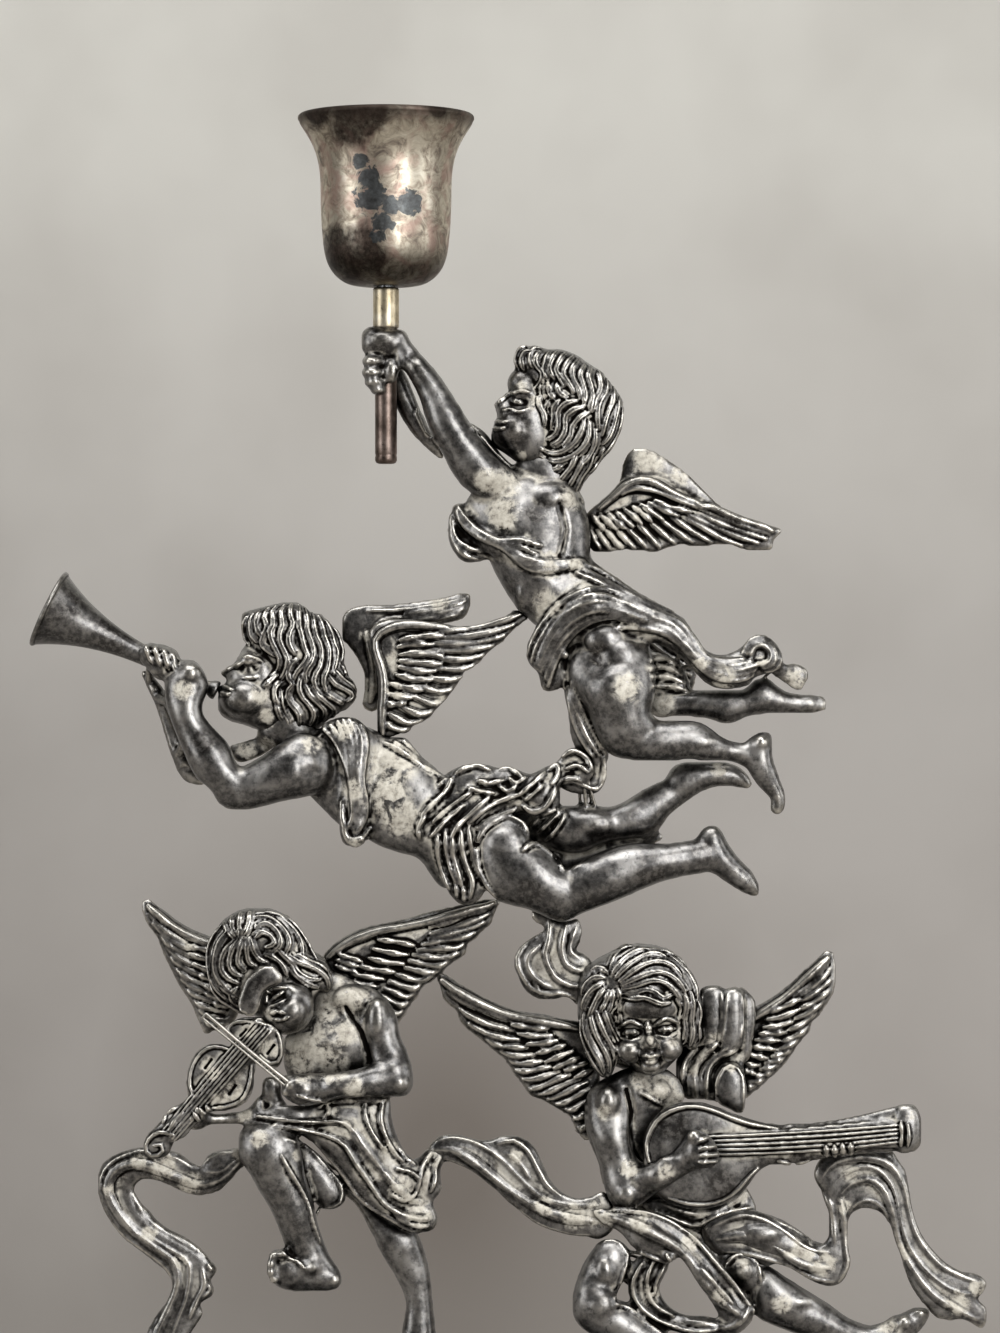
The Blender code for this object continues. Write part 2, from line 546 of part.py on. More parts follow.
def scene_object(name, mesh, material):
    """Links a mesh as one named sub-part in its material, shaded smooth."""
    obj = bpy.data.objects.new(name, mesh)
    bpy.context.scene.collection.objects.link(obj)
    mesh.materials.clear()
    mesh.materials.append(material)
    mesh.shade_smooth()
    mesh.set_sharp_from_angle(angle=math.radians(40))
    return obj


def baked(obj):
    """The object's mesh with its modifiers applied."""
    bpy.context.view_layer.update()
    made = bpy.data.meshes.new_from_object(obj.evaluated_get(bpy.context.evaluated_depsgraph_get()))
    old = obj.data
    obj.modifiers.clear()
    obj.data = made
    bpy.data.meshes.remove(old)
    return obj


def casting(name, draw, material, faces, grain):
    """Fuses everything that draw adds to a mesh into one cast body of about that many faces."""
    bm = bmesh.new()
    draw(bm)
    mesh = bpy.data.meshes.new(name)
    bm.to_mesh(mesh)
    bm.free()
    obj = scene_object(name, mesh, material)
    for more in (1.0, 1.03, 0.97, 1.06, 0.94, 1.1, 0.9, 1.15, 0.85):
        obj.data = mesh.copy()
        fuse = obj.modifiers.new("fuse", "REMESH")
        fuse.mode = "VOXEL"
        fuse.voxel_size = grain * more * MM
        soften = obj.modifiers.new("soften", "SMOOTH")
        soften.iterations = 3
        baked(obj)
        thin = obj.modifiers.new("thin", "DECIMATE")
        thin.ratio = min(1.0, faces / (2 * len(obj.data.polygons)))
        baked(obj)
        keep_main_body(obj)
        if sound(obj.data):
            break
    return obj


def keep_main_body(obj):
    """Removes the crumbs that a cut leaves beside a casting."""
    bm = bmesh.new()
    bm.from_mesh(obj.data)
    left = set(bm.verts)
    bodies = []
    while left:
        start = left.pop()
        body, edge = {start}, [start]
        while edge:
            for link in edge.pop().link_edges:
                for vert in link.verts:
                    if vert in left:
                        left.discard(vert)
                        body.add(vert)
                        edge.append(vert)
        bodies.append(body)
    bodies.sort(key=len)
    for body in bodies[:-1]:
        bmesh.ops.delete(bm, geom=list(body), context="VERTS")
    bm.to_mesh(obj.data)
    bm.free()


def cut(obj, tool, operation="DIFFERENCE"):
    """Cuts a tool from an object, or joins it on, and welds the seam."""
    step = obj.modifiers.new("cut", "BOOLEAN")
    step.operation = operation
    step.object = tool
    weld = obj.modifiers.new("weld", "WELD")
    weld.merge_threshold = 0.000001
    baked(obj)


def discard(obj):
    """Removes a helper object with its mesh."""
    mesh = obj.data
    bpy.data.objects.remove(obj)
    bpy.data.meshes.remove(mesh)


def sound(mesh):
    """Whether a mesh is one clean closed surface that doesn't cross itself."""
    bm = bmesh.new()
    bm.from_mesh(mesh)
    bmesh.ops.remove_doubles(bm, verts=bm.verts, dist=0.000001)
    clean = all(edge.is_manifold for edge in bm.edges) and all(vert.is_manifold for vert in bm.verts)
    bm.faces.ensure_lookup_table()
    tree = BVHTree.FromBMesh(bm)
    for a, b in tree.overlap(tree):
        if a < b and not set(bm.faces[a].verts) & set(bm.faces[b].verts):
            clean = False
            break
    bm.free()
    return clean


def fit_round(obj, *neighbours):
    """Cuts an object back from its neighbours by the solder gap, or a hair more where the cut is ragged."""
    for neighbour in neighbours:
        whole = obj.data.copy()
        for extra in (0, 0.02, 0.04, 0.07, 0.1, 0.15):
            obj.data = whole.copy()
            tool = bpy.data.objects.new("tool", neighbour.data.copy())
            bpy.context.scene.collection.objects.link(tool)
            swell = tool.modifiers.new("swell", "DISPLACE")
            swell.strength = (SOLDER_GAP + extra) * MM
            swell.mid_level = 0
            baked(tool)
            cut(obj, tool)
            discard(tool)
            keep_main_body(obj)
            if sound(obj.data):
                break


def turned(name, profile, material, segments=40, closed=False):
    """A solid of revolution about z from (radius, height) points, in millimetres."""
    bm = bmesh.new()
    rings = []
    for radius, height in profile:
        if radius == 0:
            rings.append([bm.verts.new((0, 0, height * MM))])
            continue
        rings.append([
            bm.verts.new((radius * MM * math.cos(a), radius * MM * math.sin(a), height * MM))
            for a in (2 * math.pi * k / segments for k in range(segments))
        ])
    pairs = list(zip(rings, rings[1:]))
    if closed:
        pairs.append((rings[-1], rings[0]))
    for a, b in pairs:
        for k in range(segments):
            corners = [a[k % len(a)], a[(k + 1) % len(a)], b[(k + 1) % len(b)], b[k % len(b)]]
            corners = list(dict.fromkeys(corners))
            if len(corners) > 2:
                bm.faces.new(corners)
    bmesh.ops.recalc_face_normals(bm, faces=bm.faces)
    mesh = bpy.data.meshes.new(name)
    bm.to_mesh(mesh)
    bm.free()
    return scene_object(name, mesh, material)


def disc(name, radius, low, high, material, segments):
    """A plain disc or pin about z between two heights, in millimetres."""
    return turned(name, [(0, low), (radius, low), (radius, high), (0, high)], material, segments)


def metal(finish):
    """A plain Principled material of that name, colour, roughness and metallic value."""
    name, colour, roughness, metallic = finish
    material = bpy.data.materials.new(name)
    material.use_nodes = True
    shader = material.node_tree.nodes["Principled BSDF"]
    shader.inputs["Base Color"].default_value = (*colour, 1)
    shader.inputs["Roughness"].default_value = roughness
    shader.inputs["Metallic"].default_value = metallic
    return material


# Foot


def foot_screw_places():
    """The foot screws' centres, in a row along the mound."""
    for k in range(FOOT_SCREW_COUNT):
        yield FOOT_SCREW_PITCH * (k - (FOOT_SCREW_COUNT - 1) / 2), 0.0


def drill(obj, x, y, radius, low, high):
    """A round hole along z between two heights."""
    bit = disc("bit", radius, low, high, obj.data.materials[0], 20)
    bit.location = (x * MM, y * MM, 0)
    cut(obj, bit)
    discard(bit)


def foot_outline(inset):
    """The foot's half section from its rim to the middle of its table, moved inwards by inset."""
    low = FELT_PROUD
    rim = low + FOOT_RIM_HEIGHT
    slope = FOOT_RADIUS - FOOT_TABLE_RADIUS
    rise = TABLE_TOP - rim
    outline = [(FOOT_RADIUS - inset, low), (FOOT_RADIUS - inset, rim - inset * 0.4)]
    for share in (0.0, 0.12, 0.3, 0.5, 0.7, 0.86, 1.0):
        sweep_in = 0.07 + 0.93 * share
        climb = 0.5 - 0.5 * math.cos(math.pi * share)
        outline.append((FOOT_RADIUS - inset * 0.7 - slope * sweep_in, rim + rise * climb - inset))
    outline.append((0, TABLE_TOP - inset))
    return outline


def foot(silver, iron, felt, steel):
    """A spun dome over a cast weight, closed by felt, with the screws that hold the mound."""
    outer = foot_outline(0)
    inner = foot_outline(FOOT_WALL)
    dome = turned("foot_dome", outer + inner[::-1], silver, 44, closed=True)
    weight_low = FELT_THICKNESS + SOLDER_GAP
    weight_high = weight_low + WEIGHT_THICKNESS
    weight_radius = min(WEIGHT_RADIUS, FOOT_TABLE_RADIUS + (FOOT_RADIUS - FOOT_TABLE_RADIUS) * 0.4)
    weight = disc("foot_weight", weight_radius, weight_low, weight_high, iron, 32)
    boss_top = TABLE_TOP - FOOT_WALL - SOLDER_GAP
    row_half = FOOT_SCREW_PITCH * (FOOT_SCREW_COUNT - 1) / 2
    boss_radius = min(row_half + 2 * FOOT_SCREW_HEAD_RADIUS, FOOT_TABLE_RADIUS - 4)
    boss = disc("boss", boss_radius, weight_high - 1, boss_top, iron, 32)
    cut(weight, boss, "UNION")
    discard(boss)
    felt_radius = FOOT_RADIUS - FOOT_WALL - SOLDER_GAP
    disc("foot_felt", felt_radius, 0, FELT_THICKNESS, felt, 48)
    head_low = weight_low + 0.4
    head_high = head_low + FOOT_SCREW_HEAD_HEIGHT
    tip = TABLE_TOP + FOOT_SCREW_GRIP
    for k, (x, y) in enumerate(foot_screw_places()):
        shank, cap = FOOT_SCREW_RADIUS, FOOT_SCREW_HEAD_RADIUS
        outline = [(0, head_low), (cap, head_low), (cap, head_high), (shank, head_high)]
        screw = turned(f"foot_screw_{k + 1}", outline + [(shank, tip), (0, tip)], steel, 16)
        screw.data.transform(Matrix.Translation((x * MM, y * MM, 0)))
        drill(weight, x, y, shank + RUNNING_GAP, weight_low - 1, TABLE_TOP)
        drill(weight, x, y, cap + RUNNING_GAP, weight_low - 1, head_high + SOLDER_GAP)
        drill(dome, x, y, shank + RUNNING_GAP, TABLE_TOP - 2 * FOOT_WALL, TABLE_TOP + 1)


def mound(silver):
    """The cast cloud mound, flat below, with holes for the foot's screws."""

    def draw(bm):
        for (across, height), (half_width, half_height) in MOUND_LUMPS:
            for relief in (-0.5, 0.5):
                place = (across, height, relief * MOUND_DEPTH)
                ball(bm, place, (half_width, half_height, MOUND_DEPTH * 0.72))
        sweep(bm, [(-30, -MOUND_HEIGHT + 3, 0, 6, MOUND_DEPTH), (30, -MOUND_HEIGHT + 3, 0, 6, MOUND_DEPTH)])

    obj = casting("cloud_mound", draw, silver, MOUND_FACES, MOUND_GRAIN)
    floor = TABLE_TOP + SOLDER_GAP
    box = disc("box", 200, floor - 60, floor, silver, 8)
    cut(obj, box)
    discard(box)
    keep_main_body(obj)
    hole_top = TABLE_TOP + FOOT_SCREW_GRIP + SOLDER_GAP
    for x, y in foot_screw_places():
        drill(obj, x, y, FOOT_SCREW_RADIUS + RUNNING_GAP, floor - 1, hole_top)
    return obj


# Cup and stem


def cup_outline(offset):
    """The cup's half section from its floor to its lip, moved inwards by offset."""
    low = CUP_BOTTOM + MOUND_TOP
    body, lip, floor = CUP_BODY_RADIUS, CUP_LIP_RADIUS, CUP_FLOOR_RADIUS
    tall = CUP_HEIGHT
    # The share of the way from floor to body, or from body to lip, and the share of the height.
    bowl = [(0, 0), (0.42, 0.045), (0.72, 0.14), (0.92, 0.26), (1, 0.46)]
    flare = [(0.11, 0.7), (0.24, 0.8), (0.5, 0.87), (0.8, 0.93)]
    points = [(floor + out * (body - floor), up * tall) for out, up in bowl]
    points += [(body + out * (lip - body), up * tall) for out, up in flare]
    return [(radius - offset, low + max(height, offset)) for radius, height in points]


def candle_cup(silver):
    """The spun bell cup with a rolled lip and a screw hole in its floor."""
    low = CUP_BOTTOM + MOUND_TOP
    top = low + CUP_HEIGHT
    hole = CUP_SCREW_RADIUS + RUNNING_GAP
    outer = [(hole, low)] + cup_outline(0)
    edge = CUP_LIP_RADIUS
    lip = [(edge, top - 1.4), (edge + 0.1, top - 0.6), (edge - 0.5, top), (edge - 1.3, top - 0.4)]
    # The candle stands on the ring of floor outside the recess for the screw's head.
    recess = CUP_SCREW_HEAD_RADIUS + RUNNING_GAP
    recess_floor = low + CUP_WALL - CUP_RECESS_DEPTH
    inner = cup_outline(CUP_WALL)[::-1]
    inner += [(recess, low + CUP_WALL), (recess, recess_floor), (hole, recess_floor)]
    cup = turned("candle_cup", outer + lip + inner, silver, 36, closed=True)
    cup.data.transform(Matrix.Translation((CUP_ACROSS * MM, 0, 0)))
    return cup


def stem_and_screw(brass, steel):
    """The stepped rod that the hands grip, and the screw that holds the cup to its top."""
    top = CUP_BOTTOM + MOUND_TOP - SOLDER_GAP
    step = STEM_STEP + MOUND_TOP
    end = STEM_END + MOUND_TOP
    hole = CUP_SCREW_RADIUS + RUNNING_GAP
    pit = top - CUP_SCREW_GRIP
    chamfer = 0.4
    stem = turned("torch_stem", [
        (0, end),
        (STEM_TAIL_RADIUS - chamfer, end),
        (STEM_TAIL_RADIUS, end + chamfer),
        (STEM_TAIL_RADIUS, step),
        (STEM_RADIUS, step + chamfer),
        (STEM_RADIUS, top),
        (hole, top),
        (hole, pit),
        (0, pit),
    ], brass, 20)
    stem.data.transform(Matrix.Translation((CUP_ACROSS * MM, 0, 0)))
    seat = CUP_BOTTOM + MOUND_TOP + CUP_WALL - CUP_RECESS_DEPTH + SOLDER_GAP
    crown = seat + CUP_SCREW_HEAD_HEIGHT
    foot_end = pit + SOLDER_GAP
    screw = turned("cup_screw", [
        (0, foot_end),
        (CUP_SCREW_RADIUS, foot_end),
        (CUP_SCREW_RADIUS, seat),
        (CUP_SCREW_HEAD_RADIUS, seat),
        (CUP_SCREW_HEAD_RADIUS, crown - chamfer),
        (CUP_SCREW_HEAD_RADIUS - chamfer, crown),
        (0, crown),
    ], steel, 20)
    screw.data.transform(Matrix.Translation((CUP_ACROSS * MM, 0, 0)))
    return stem


# Instruments


def between(start, end, share):
    """A point on the line between two points of the casting plane."""
    return [a + (b - a) * share for a, b in zip(start, end)]


def trumpet(silver):
    """A straight trumpet: mouthpiece, tapered pipe and a hollow flared bell."""
    start, end = stand(*TRUMPET_MOUTHPIECE), stand(*TRUMPET_BELL)
    length = (end - start).length / MM
    pipe, bell, wall = TRUMPET_PIPE_RADIUS, TRUMPET_BELL_RADIUS, TRUMPET_WALL
    # The share of the length, and the share of the way from the pipe's radius to the bell's.
    flare = [(0.55, 0.1), (0.68, 0.21), (0.8, 0.39), (0.9, 0.62), (1.0, 1.0)]
    flare = [(pipe + out * (bell - pipe), along * length) for along, out in flare]
    mouthpiece = [(0, 0), (pipe * 1.1, 0), (pipe * 1.25, 1.2), (pipe * 0.8, 2.6), (pipe, 8)]
    hollow = [(radius - wall, height + wall * 0.4) for radius, height in flare[1:-1]][::-1]
    hollow = [(bell - wall, length)] + hollow + [(0, flare[1][1] - 1)]
    obj = turned("trumpet", mouthpiece + flare + hollow, silver, 24)
    turn = Vector((0, 0, 1)).rotation_difference((end - start).normalized())
    obj.data.transform(Matrix.Translation(start) @ turn.to_matrix().to_4x4())
    return obj


def violin(silver):
    """Violin body of two bouts, neck, scroll and a string band."""
    start, end = Vector(VIOLIN_BUTTON), Vector(VIOLIN_SCROLL)
    length = (end - start).length
    half, thick = VIOLIN_HALF_WIDTH, VIOLIN_THICKNESS / 2
    body = VIOLIN_BODY_LENGTH

    def draw(bm):
        stations = []
        bouts = [(0.1, 0.72), (0.25, 0.98), (0.42, 0.84), (0.56, 0.6), (0.7, 0.8), (0.84, 0.86), (0.97, 0.5)]
        for share, wide in bouts:
            stations.append((*between(start, end, share * body / length), wide * half, thick))
        sweep(bm, stations, sides=14)
        neck = [between(start, end, s) for s in (0.5 * body / length, body / length, 0.97)]
        sweep(bm, [(p[0], p[1], p[2] + 1, 1.5, 1.6) for p in neck])
        ball(bm, between(start, end, 0.98), (2.4, 2.4, 2.2))

    return casting("violin", draw, silver, INSTRUMENT_FACES, WING_GRAIN)


def bow(silver):
    """The bow's stick, from its tip to the frog in the hand."""

    def draw(bm):
        middle = between(BOW_TIP, BOW_FROG, 0.5)
        stick = [(*BOW_TIP, BOW_RADIUS), (*middle, BOW_RADIUS), (*BOW_FROG, BOW_RADIUS * 1.3)]
        sweep(bm, stick, sides=8)

    return casting("violin_bow", draw, silver, BOW_FACES, BOW_GRAIN)


def lute(silver):
    """Pear body, neck with a string band, and the drum-ended head."""
    start, end = Vector(LUTE_END), Vector(LUTE_HEAD)
    length = (end - start).length
    half, thick, body = LUTE_HALF_WIDTH, LUTE_DEPTH / 2, LUTE_BODY_LENGTH
    neck = LUTE_NECK_HALF_WIDTH

    def draw(bm):
        stations = []
        for share, wide in ((0.06, 0.55), (0.18, 0.9), (0.36, 1.0), (0.56, 0.86), (0.76, 0.58)):
            stations.append((*between(start, end, share * body / length), wide * half, thick))
        stations.append((*between(start, end, body / length), neck, thick * 0.7))
        stations.append((*between(start, end, 0.9), neck, thick * 0.6))
        sweep(bm, stations, sides=14)
        x, z, y = between(start, end, 0.97)
        sweep(bm, [(x, z - 2.6, y, 2.4, 2.6), (x - 0.6, z + 2.6, y, 2.4, 2.6)])

    return casting("lute", draw, silver, LUTE_FACES, WING_GRAIN)


# Castings


def figure(name, limbs, cloth, hands, silver):
    """One figure: flesh, drapery, hands and head in a single casting."""

    def draw(bm):
        for stations in list(limbs.values()) + list(cloth.values()):
            sweep(bm, stations)
        for centre, radii in hands:
            ball(bm, centre, radii)
        head(bm, name)

    return casting(f"{name}_cherub", draw, silver, FIGURE_FACES, FIGURE_GRAIN)


def wing(name, node, silver):
    """One wing casting."""
    return casting(node, lambda bm: feathers(bm, name), silver, WING_FACES, WING_GRAIN)


def ribbon(node, names, silver, faces=RIBBON_FACES):
    """One ribbon casting of one or more bands."""

    def draw(bm):
        for name in names:
            sweep(bm, RIBBONS[name], sides=12)

    return casting(node, draw, silver, faces, WING_GRAIN)


def mantle(silver):
    """The thick cloak folds behind the lute player's shoulder, with the rolled sleeve."""

    def draw(bm):
        for across in (39.4, 43.6, 48.2):
            sweep(bm, [(across, 88.6, -2, 2.6), (across + 0.4, 79, -1, 2.8), (across - 3, 71, 0, 3)])
        sweep(bm, [(46, 73.6, 1, 3.4), (46, 68.6, 1, 3.4)])
        sweep(bm, [(40, 70, -1, 3.6), (45, 68, -1, 3.6)])

    return casting("lute_cherub_mantle", draw, silver, MANTLE_FACES, WING_GRAIN)


def build():
    """The whole candle holder."""
    silver, cup_silver = metal(SILVER), metal(CUP_SILVER)
    brass, steel, iron, felt = metal(BRASS), metal(STEEL), metal(IRON), metal(FELT)

    foot(silver, iron, felt, steel)
    cloud = mound(silver)
    candle_cup(cup_silver)
    stem = stem_and_screw(brass, steel)
    horn, fiddle, stick, pear = trumpet(silver), violin(silver), bow(silver), lute(silver)

    torch = figure("torch", TORCH_LIMBS, TORCH_CLOTH, TORCH_HANDS, silver)
    fit_round(torch, stem)
    herald = figure("trumpet", TRUMPET_LIMBS, TRUMPET_CLOTH, TRUMPET_HANDS, silver)
    fit_round(herald, horn, torch)
    fiddler = figure("violin", VIOLIN_LIMBS, VIOLIN_CLOTH, VIOLIN_HANDS, silver)
    fit_round(fiddle, stick)
    fit_round(fiddler, stick, fiddle, cloud)
    lutenist = figure("lute", LUTE_LIMBS, LUTE_CLOTH, LUTE_HANDS, silver)
    fit_round(lutenist, pear, cloud)
    cloak = mantle(silver)
    fit_round(cloak, lutenist, pear)

    spread = wing("torch_near", "torch_cherub_near_wing", silver)
    fit_round(spread, torch)
    fit_round(wing("torch_far", "torch_cherub_far_wing", silver), torch, spread)
    near = wing("trumpet_near", "trumpet_cherub_near_wing", silver)
    fit_round(near, herald, torch)
    fit_round(wing("trumpet_far", "trumpet_cherub_far_wing", silver), herald, near)
    fit_round(wing("violin_left", "violin_cherub_left_wing", silver), fiddler, fiddle, stick)
    right = wing("violin_right", "violin_cherub_right_wing", silver)
    fit_round(right, fiddler, herald)
    fit_round(wing("lute_left", "lute_cherub_left_wing", silver), lutenist, right)
    fit_round(wing("lute_right", "lute_cherub_right_wing", silver), lutenist, cloak, pear)

    fit_round(ribbon("left_ribbon", ["left"], silver, LEFT_RIBBON_FACES), fiddler, fiddle, cloud)
    fit_round(ribbon("middle_ribbon", ["middle", "middle_curl"], silver), fiddler, lutenist)
    fit_round(ribbon("right_ribbon", ["right"], silver, RIGHT_RIBBON_FACES), lutenist, pear)
    fit_round(ribbon("crest_ribbon", ["crest", "crest_curl"], silver), lutenist, herald)


for leftover in list(bpy.data.objects):
    bpy.data.objects.remove(leftover)
build()
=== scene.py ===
"""Cherub candle holder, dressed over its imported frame: four winged cherubs, ribbons and instruments in
tarnished silver-plated castings, a spun candle cup on a worn brass stem, and a weighted spun foot.

The castings are drawn in the casting plane, in millimetres: across to the right, height above the top of
the mound, and relief towards the front. Marks are the same plane in fifths of a millimetre, counted right
and down from the upper left corner of the view, with relief as their third number.
"""
import math

import bpy
import numpy as np
from mathutils import Matrix, Vector
from mathutils.bvhtree import BVHTree


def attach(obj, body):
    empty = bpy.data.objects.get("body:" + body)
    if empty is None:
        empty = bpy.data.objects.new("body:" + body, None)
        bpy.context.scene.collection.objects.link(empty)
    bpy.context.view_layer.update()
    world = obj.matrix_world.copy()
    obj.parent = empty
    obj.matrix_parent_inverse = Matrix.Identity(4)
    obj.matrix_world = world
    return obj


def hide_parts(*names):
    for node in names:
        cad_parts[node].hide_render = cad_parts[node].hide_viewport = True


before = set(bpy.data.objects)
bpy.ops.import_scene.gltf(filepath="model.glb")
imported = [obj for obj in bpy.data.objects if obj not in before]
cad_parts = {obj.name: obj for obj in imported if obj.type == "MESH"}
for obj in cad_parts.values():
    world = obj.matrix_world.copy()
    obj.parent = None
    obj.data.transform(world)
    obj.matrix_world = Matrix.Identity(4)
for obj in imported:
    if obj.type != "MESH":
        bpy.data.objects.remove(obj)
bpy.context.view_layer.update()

MM = 0.001
# The mound's top over the table, and the height that the finishes' ramps cover, in millimetres.
MOUND_TOP = 32.0
RAMP_HEIGHT = 400.0
# How far the felt stands out under the foot, in millimetres.
FELT_PROUD = 0.5
# Marks in a millimetre, and the mark that lies in the middle at the mound's top.
MARKS_PER_MM = 5
MARK_ACROSS = 500
MARK_DOWN = 1440
# How finely the castings' skins are drawn, in millimetres.
FIGURE_GRAIN = 0.36
HEAD_GRAIN = 0.23
WING_GRAIN = 0.26
TRIM_GRAIN = 0.28
# The half width of a lock of hair, in marks.
LOCK = 2.7


# Drawing tools


def read(text):
    """The places of a drawing, written as numbers with commas between them and spaces between places."""
    return [tuple(float(v) for v in place.split(",")) for place in text.split()]


def to_plane(right, down):
    """Marks, counted right and down, as millimetres across and up in the casting plane."""
    return (right - MARK_ACROSS) / MARKS_PER_MM, (MARK_DOWN - down) / MARKS_PER_MM


def marks(text):
    """Marks as stations of the casting plane: across, height[, relief[, half width]]."""
    return [(*to_plane(*m[:2]), *(v / MARKS_PER_MM for v in m[2:])) for m in read(text)]


def curved(places, steps):
    """Points from the second place to the last but one, by Catmull-Rom."""
    points = []
    for a, b, c, d in zip(places, places[1:], places[2:], places[3:]):
        for k in range(steps):
            t = k / steps
            points.append([
                q + 0.5 * t * ((r - p) + t * ((2 * p - 5 * q + 4 * r - s) + t * (3 * q - p - 3 * r + s)))
                for p, q, r, s in zip(a, b, c, d)
            ])
    return points


def through(stations, steps):
    """Stations on one smooth curve through the given ones."""
    stations = list(stations)
    return curved([stations[0], *stations, stations[-1]], steps) + [list(stations[-1])]


def evenly(line, count):
    """The line at count points, evenly spaced along its length."""
    points = np.array(line, dtype=float)
    steps = np.linalg.norm(np.diff(points[:, :2], axis=0), axis=1)
    along = np.concatenate([[0], np.cumsum(steps)])
    want = np.linspace(0, along[-1], count)
    return np.stack([np.interp(want, along, points[:, k]) for k in range(points.shape[1])], axis=1)


# How far apart the points of a flowing line lie in millimetres, and how many it has at least.
FLOW_STEP = 1.6
FLOW_POINTS = 12


def flow(guides, count):
    """Count lines that run side by side, from the first guide over the ones between to the last."""
    longest = max(sum(math.dist(a[:2], b[:2]) for a, b in zip(g, g[1:])) for g in guides)
    points = max(FLOW_POINTS, int(longest / FLOW_STEP))
    rows = np.array([evenly(through(g, 4), points) for g in guides])
    lines = []
    for place in np.linspace(0, len(guides) - 1, count):
        k = min(int(place), len(guides) - 2) if len(guides) > 1 else 0
        share = place - k
        following = rows[min(k + 1, len(rows) - 1)]
        lines.append((rows[k] * (1 - share) + following * share).tolist())
    return lines


def only(*objects):
    """Selects just these objects, the first one active."""
    bpy.ops.object.select_all(action="DESELECT")
    for obj in objects:
        obj.select_set(True)
    bpy.context.view_layer.objects.active = objects[0]


def worked(obj, kind, **settings):
    """Adds a modifier with these settings to the object and applies it."""
    step = obj.modifiers.new(kind.lower(), kind)
    for name, value in settings.items():
        setattr(step, name, value)
    only(obj)
    bpy.ops.object.modifier_apply(modifier=step.name)
    return obj


def linked(name, data):
    """A new object with this data, in the scene."""
    obj = bpy.data.objects.new(name, data)
    bpy.context.scene.collection.objects.link(obj)
    return obj


def drafted(name, points, edges, faces):
    """A new object with these points, edges and faces, in the scene."""
    mesh = bpy.data.meshes.new(name)
    mesh.from_pydata(points, edges, faces)
    return linked(name, mesh)


def merged(obj, outwards=False):
    """Joins the object's points where they meet, and turns its faces outwards if asked."""
    only(obj)
    bpy.ops.object.mode_set(mode="EDIT")
    bpy.ops.mesh.select_all(action="SELECT")
    bpy.ops.mesh.remove_doubles(threshold=1e-4)
    if outwards:
        bpy.ops.mesh.normals_make_consistent(inside=False)
    bpy.ops.object.mode_set(mode="OBJECT")
    return obj


# How far out each ring of a strand's round end lies, and how narrow it is, over its half width.
ROUND_END = ((0.99, 0.12), (0.87, 0.5), (0.5, 0.87))


def strands(bands, steps=3):
    """A mesh of round-ended strands, each through (across, height, relief, half width) stations."""
    curve = bpy.data.curves.new("strands", "CURVE")
    curve.dimensions = "3D"
    curve.twist_mode = "Z_UP"
    curve.use_fill_caps = True
    curve.bevel_depth = 1
    curve.bevel_resolution = 2
    for band in bands:
        rows = through([tuple(station[:4]) for station in band], steps)
        first, second, last, before = (np.array(r[:3]) for r in (rows[0], rows[1], rows[-1], rows[-2]))
        head = (first - second) / max(np.linalg.norm(first - second), 1e-6)
        tail = (last - before) / max(np.linalg.norm(last - before), 1e-6)
        starts = [[*(first + head * out * rows[0][3]), rows[0][3] * narrow] for out, narrow in ROUND_END]
        ends = [[*(last + tail * out * rows[-1][3]), rows[-1][3] * narrow] for out, narrow in ROUND_END[::-1]]
        rows = starts + rows + ends
        spline = curve.splines.new("POLY")
        spline.points.add(len(rows) - 1)
        for point, row in zip(spline.points, rows):
            point.co = (*row[:3], 1)
            point.radius = max(row[3], 0.02)
    only(linked("strands", curve))
    bpy.ops.object.convert(target="MESH")
    return bpy.context.view_layer.objects.active


def ball(centre, radii):
    """An ellipsoid in the casting plane."""
    bpy.ops.object.select_all(action="DESELECT")
    bpy.ops.mesh.primitive_uv_sphere_add(segments=24, ring_count=16, radius=1)
    obj = bpy.context.object
    obj.data.transform(Matrix.Translation(centre) @ Matrix.Diagonal((*radii, 1)))
    return obj


def balls(text):
    """Balls at marks: right, down, relief, and radii across, up and in relief."""
    return [ball(place[:3], place[3:]) for place in marks(text)]


def fused(name, parts, grain, rounds=2):
    """Joins parts and draws one cast skin round them."""
    only(*parts)
    if len(parts) > 1:
        bpy.ops.object.join()
    obj = bpy.context.view_layer.objects.active
    obj.name = name
    worked(obj, "REMESH", mode="VOXEL", voxel_size=grain)
    if rounds:
        worked(obj, "SMOOTH", iterations=rounds)
    return obj


def points_of(mesh, what="co"):
    """The mesh's vertex positions or normals."""
    values = np.empty(len(mesh.vertices) * 3, dtype=np.float32)
    if what == "co":
        mesh.vertices.foreach_get("co", values)
    else:
        mesh.vertex_normals.foreach_get("vector", values)
    return values.reshape(-1, 3)


def skin(obj):
    """A tree of the object's faces, for laying lines on them."""
    mesh = obj.data
    return BVHTree.FromPolygons([v.co for v in mesh.vertices], [p.vertices for p in mesh.polygons])


# How far off a point starts on its way to a skin, how far behind the casting plane it may land, and from
# where the nearest place is looked for if it lands deeper or nowhere, in millimetres.
FAR_OFF = 60
TOO_DEEP = -1.5
CLOSE_BY = 0.8
# How thin a laid strand's ends are over its middle, and by how much it swells and shrinks on the way.
THIN_END = 0.4
UNEVEN = 0.16


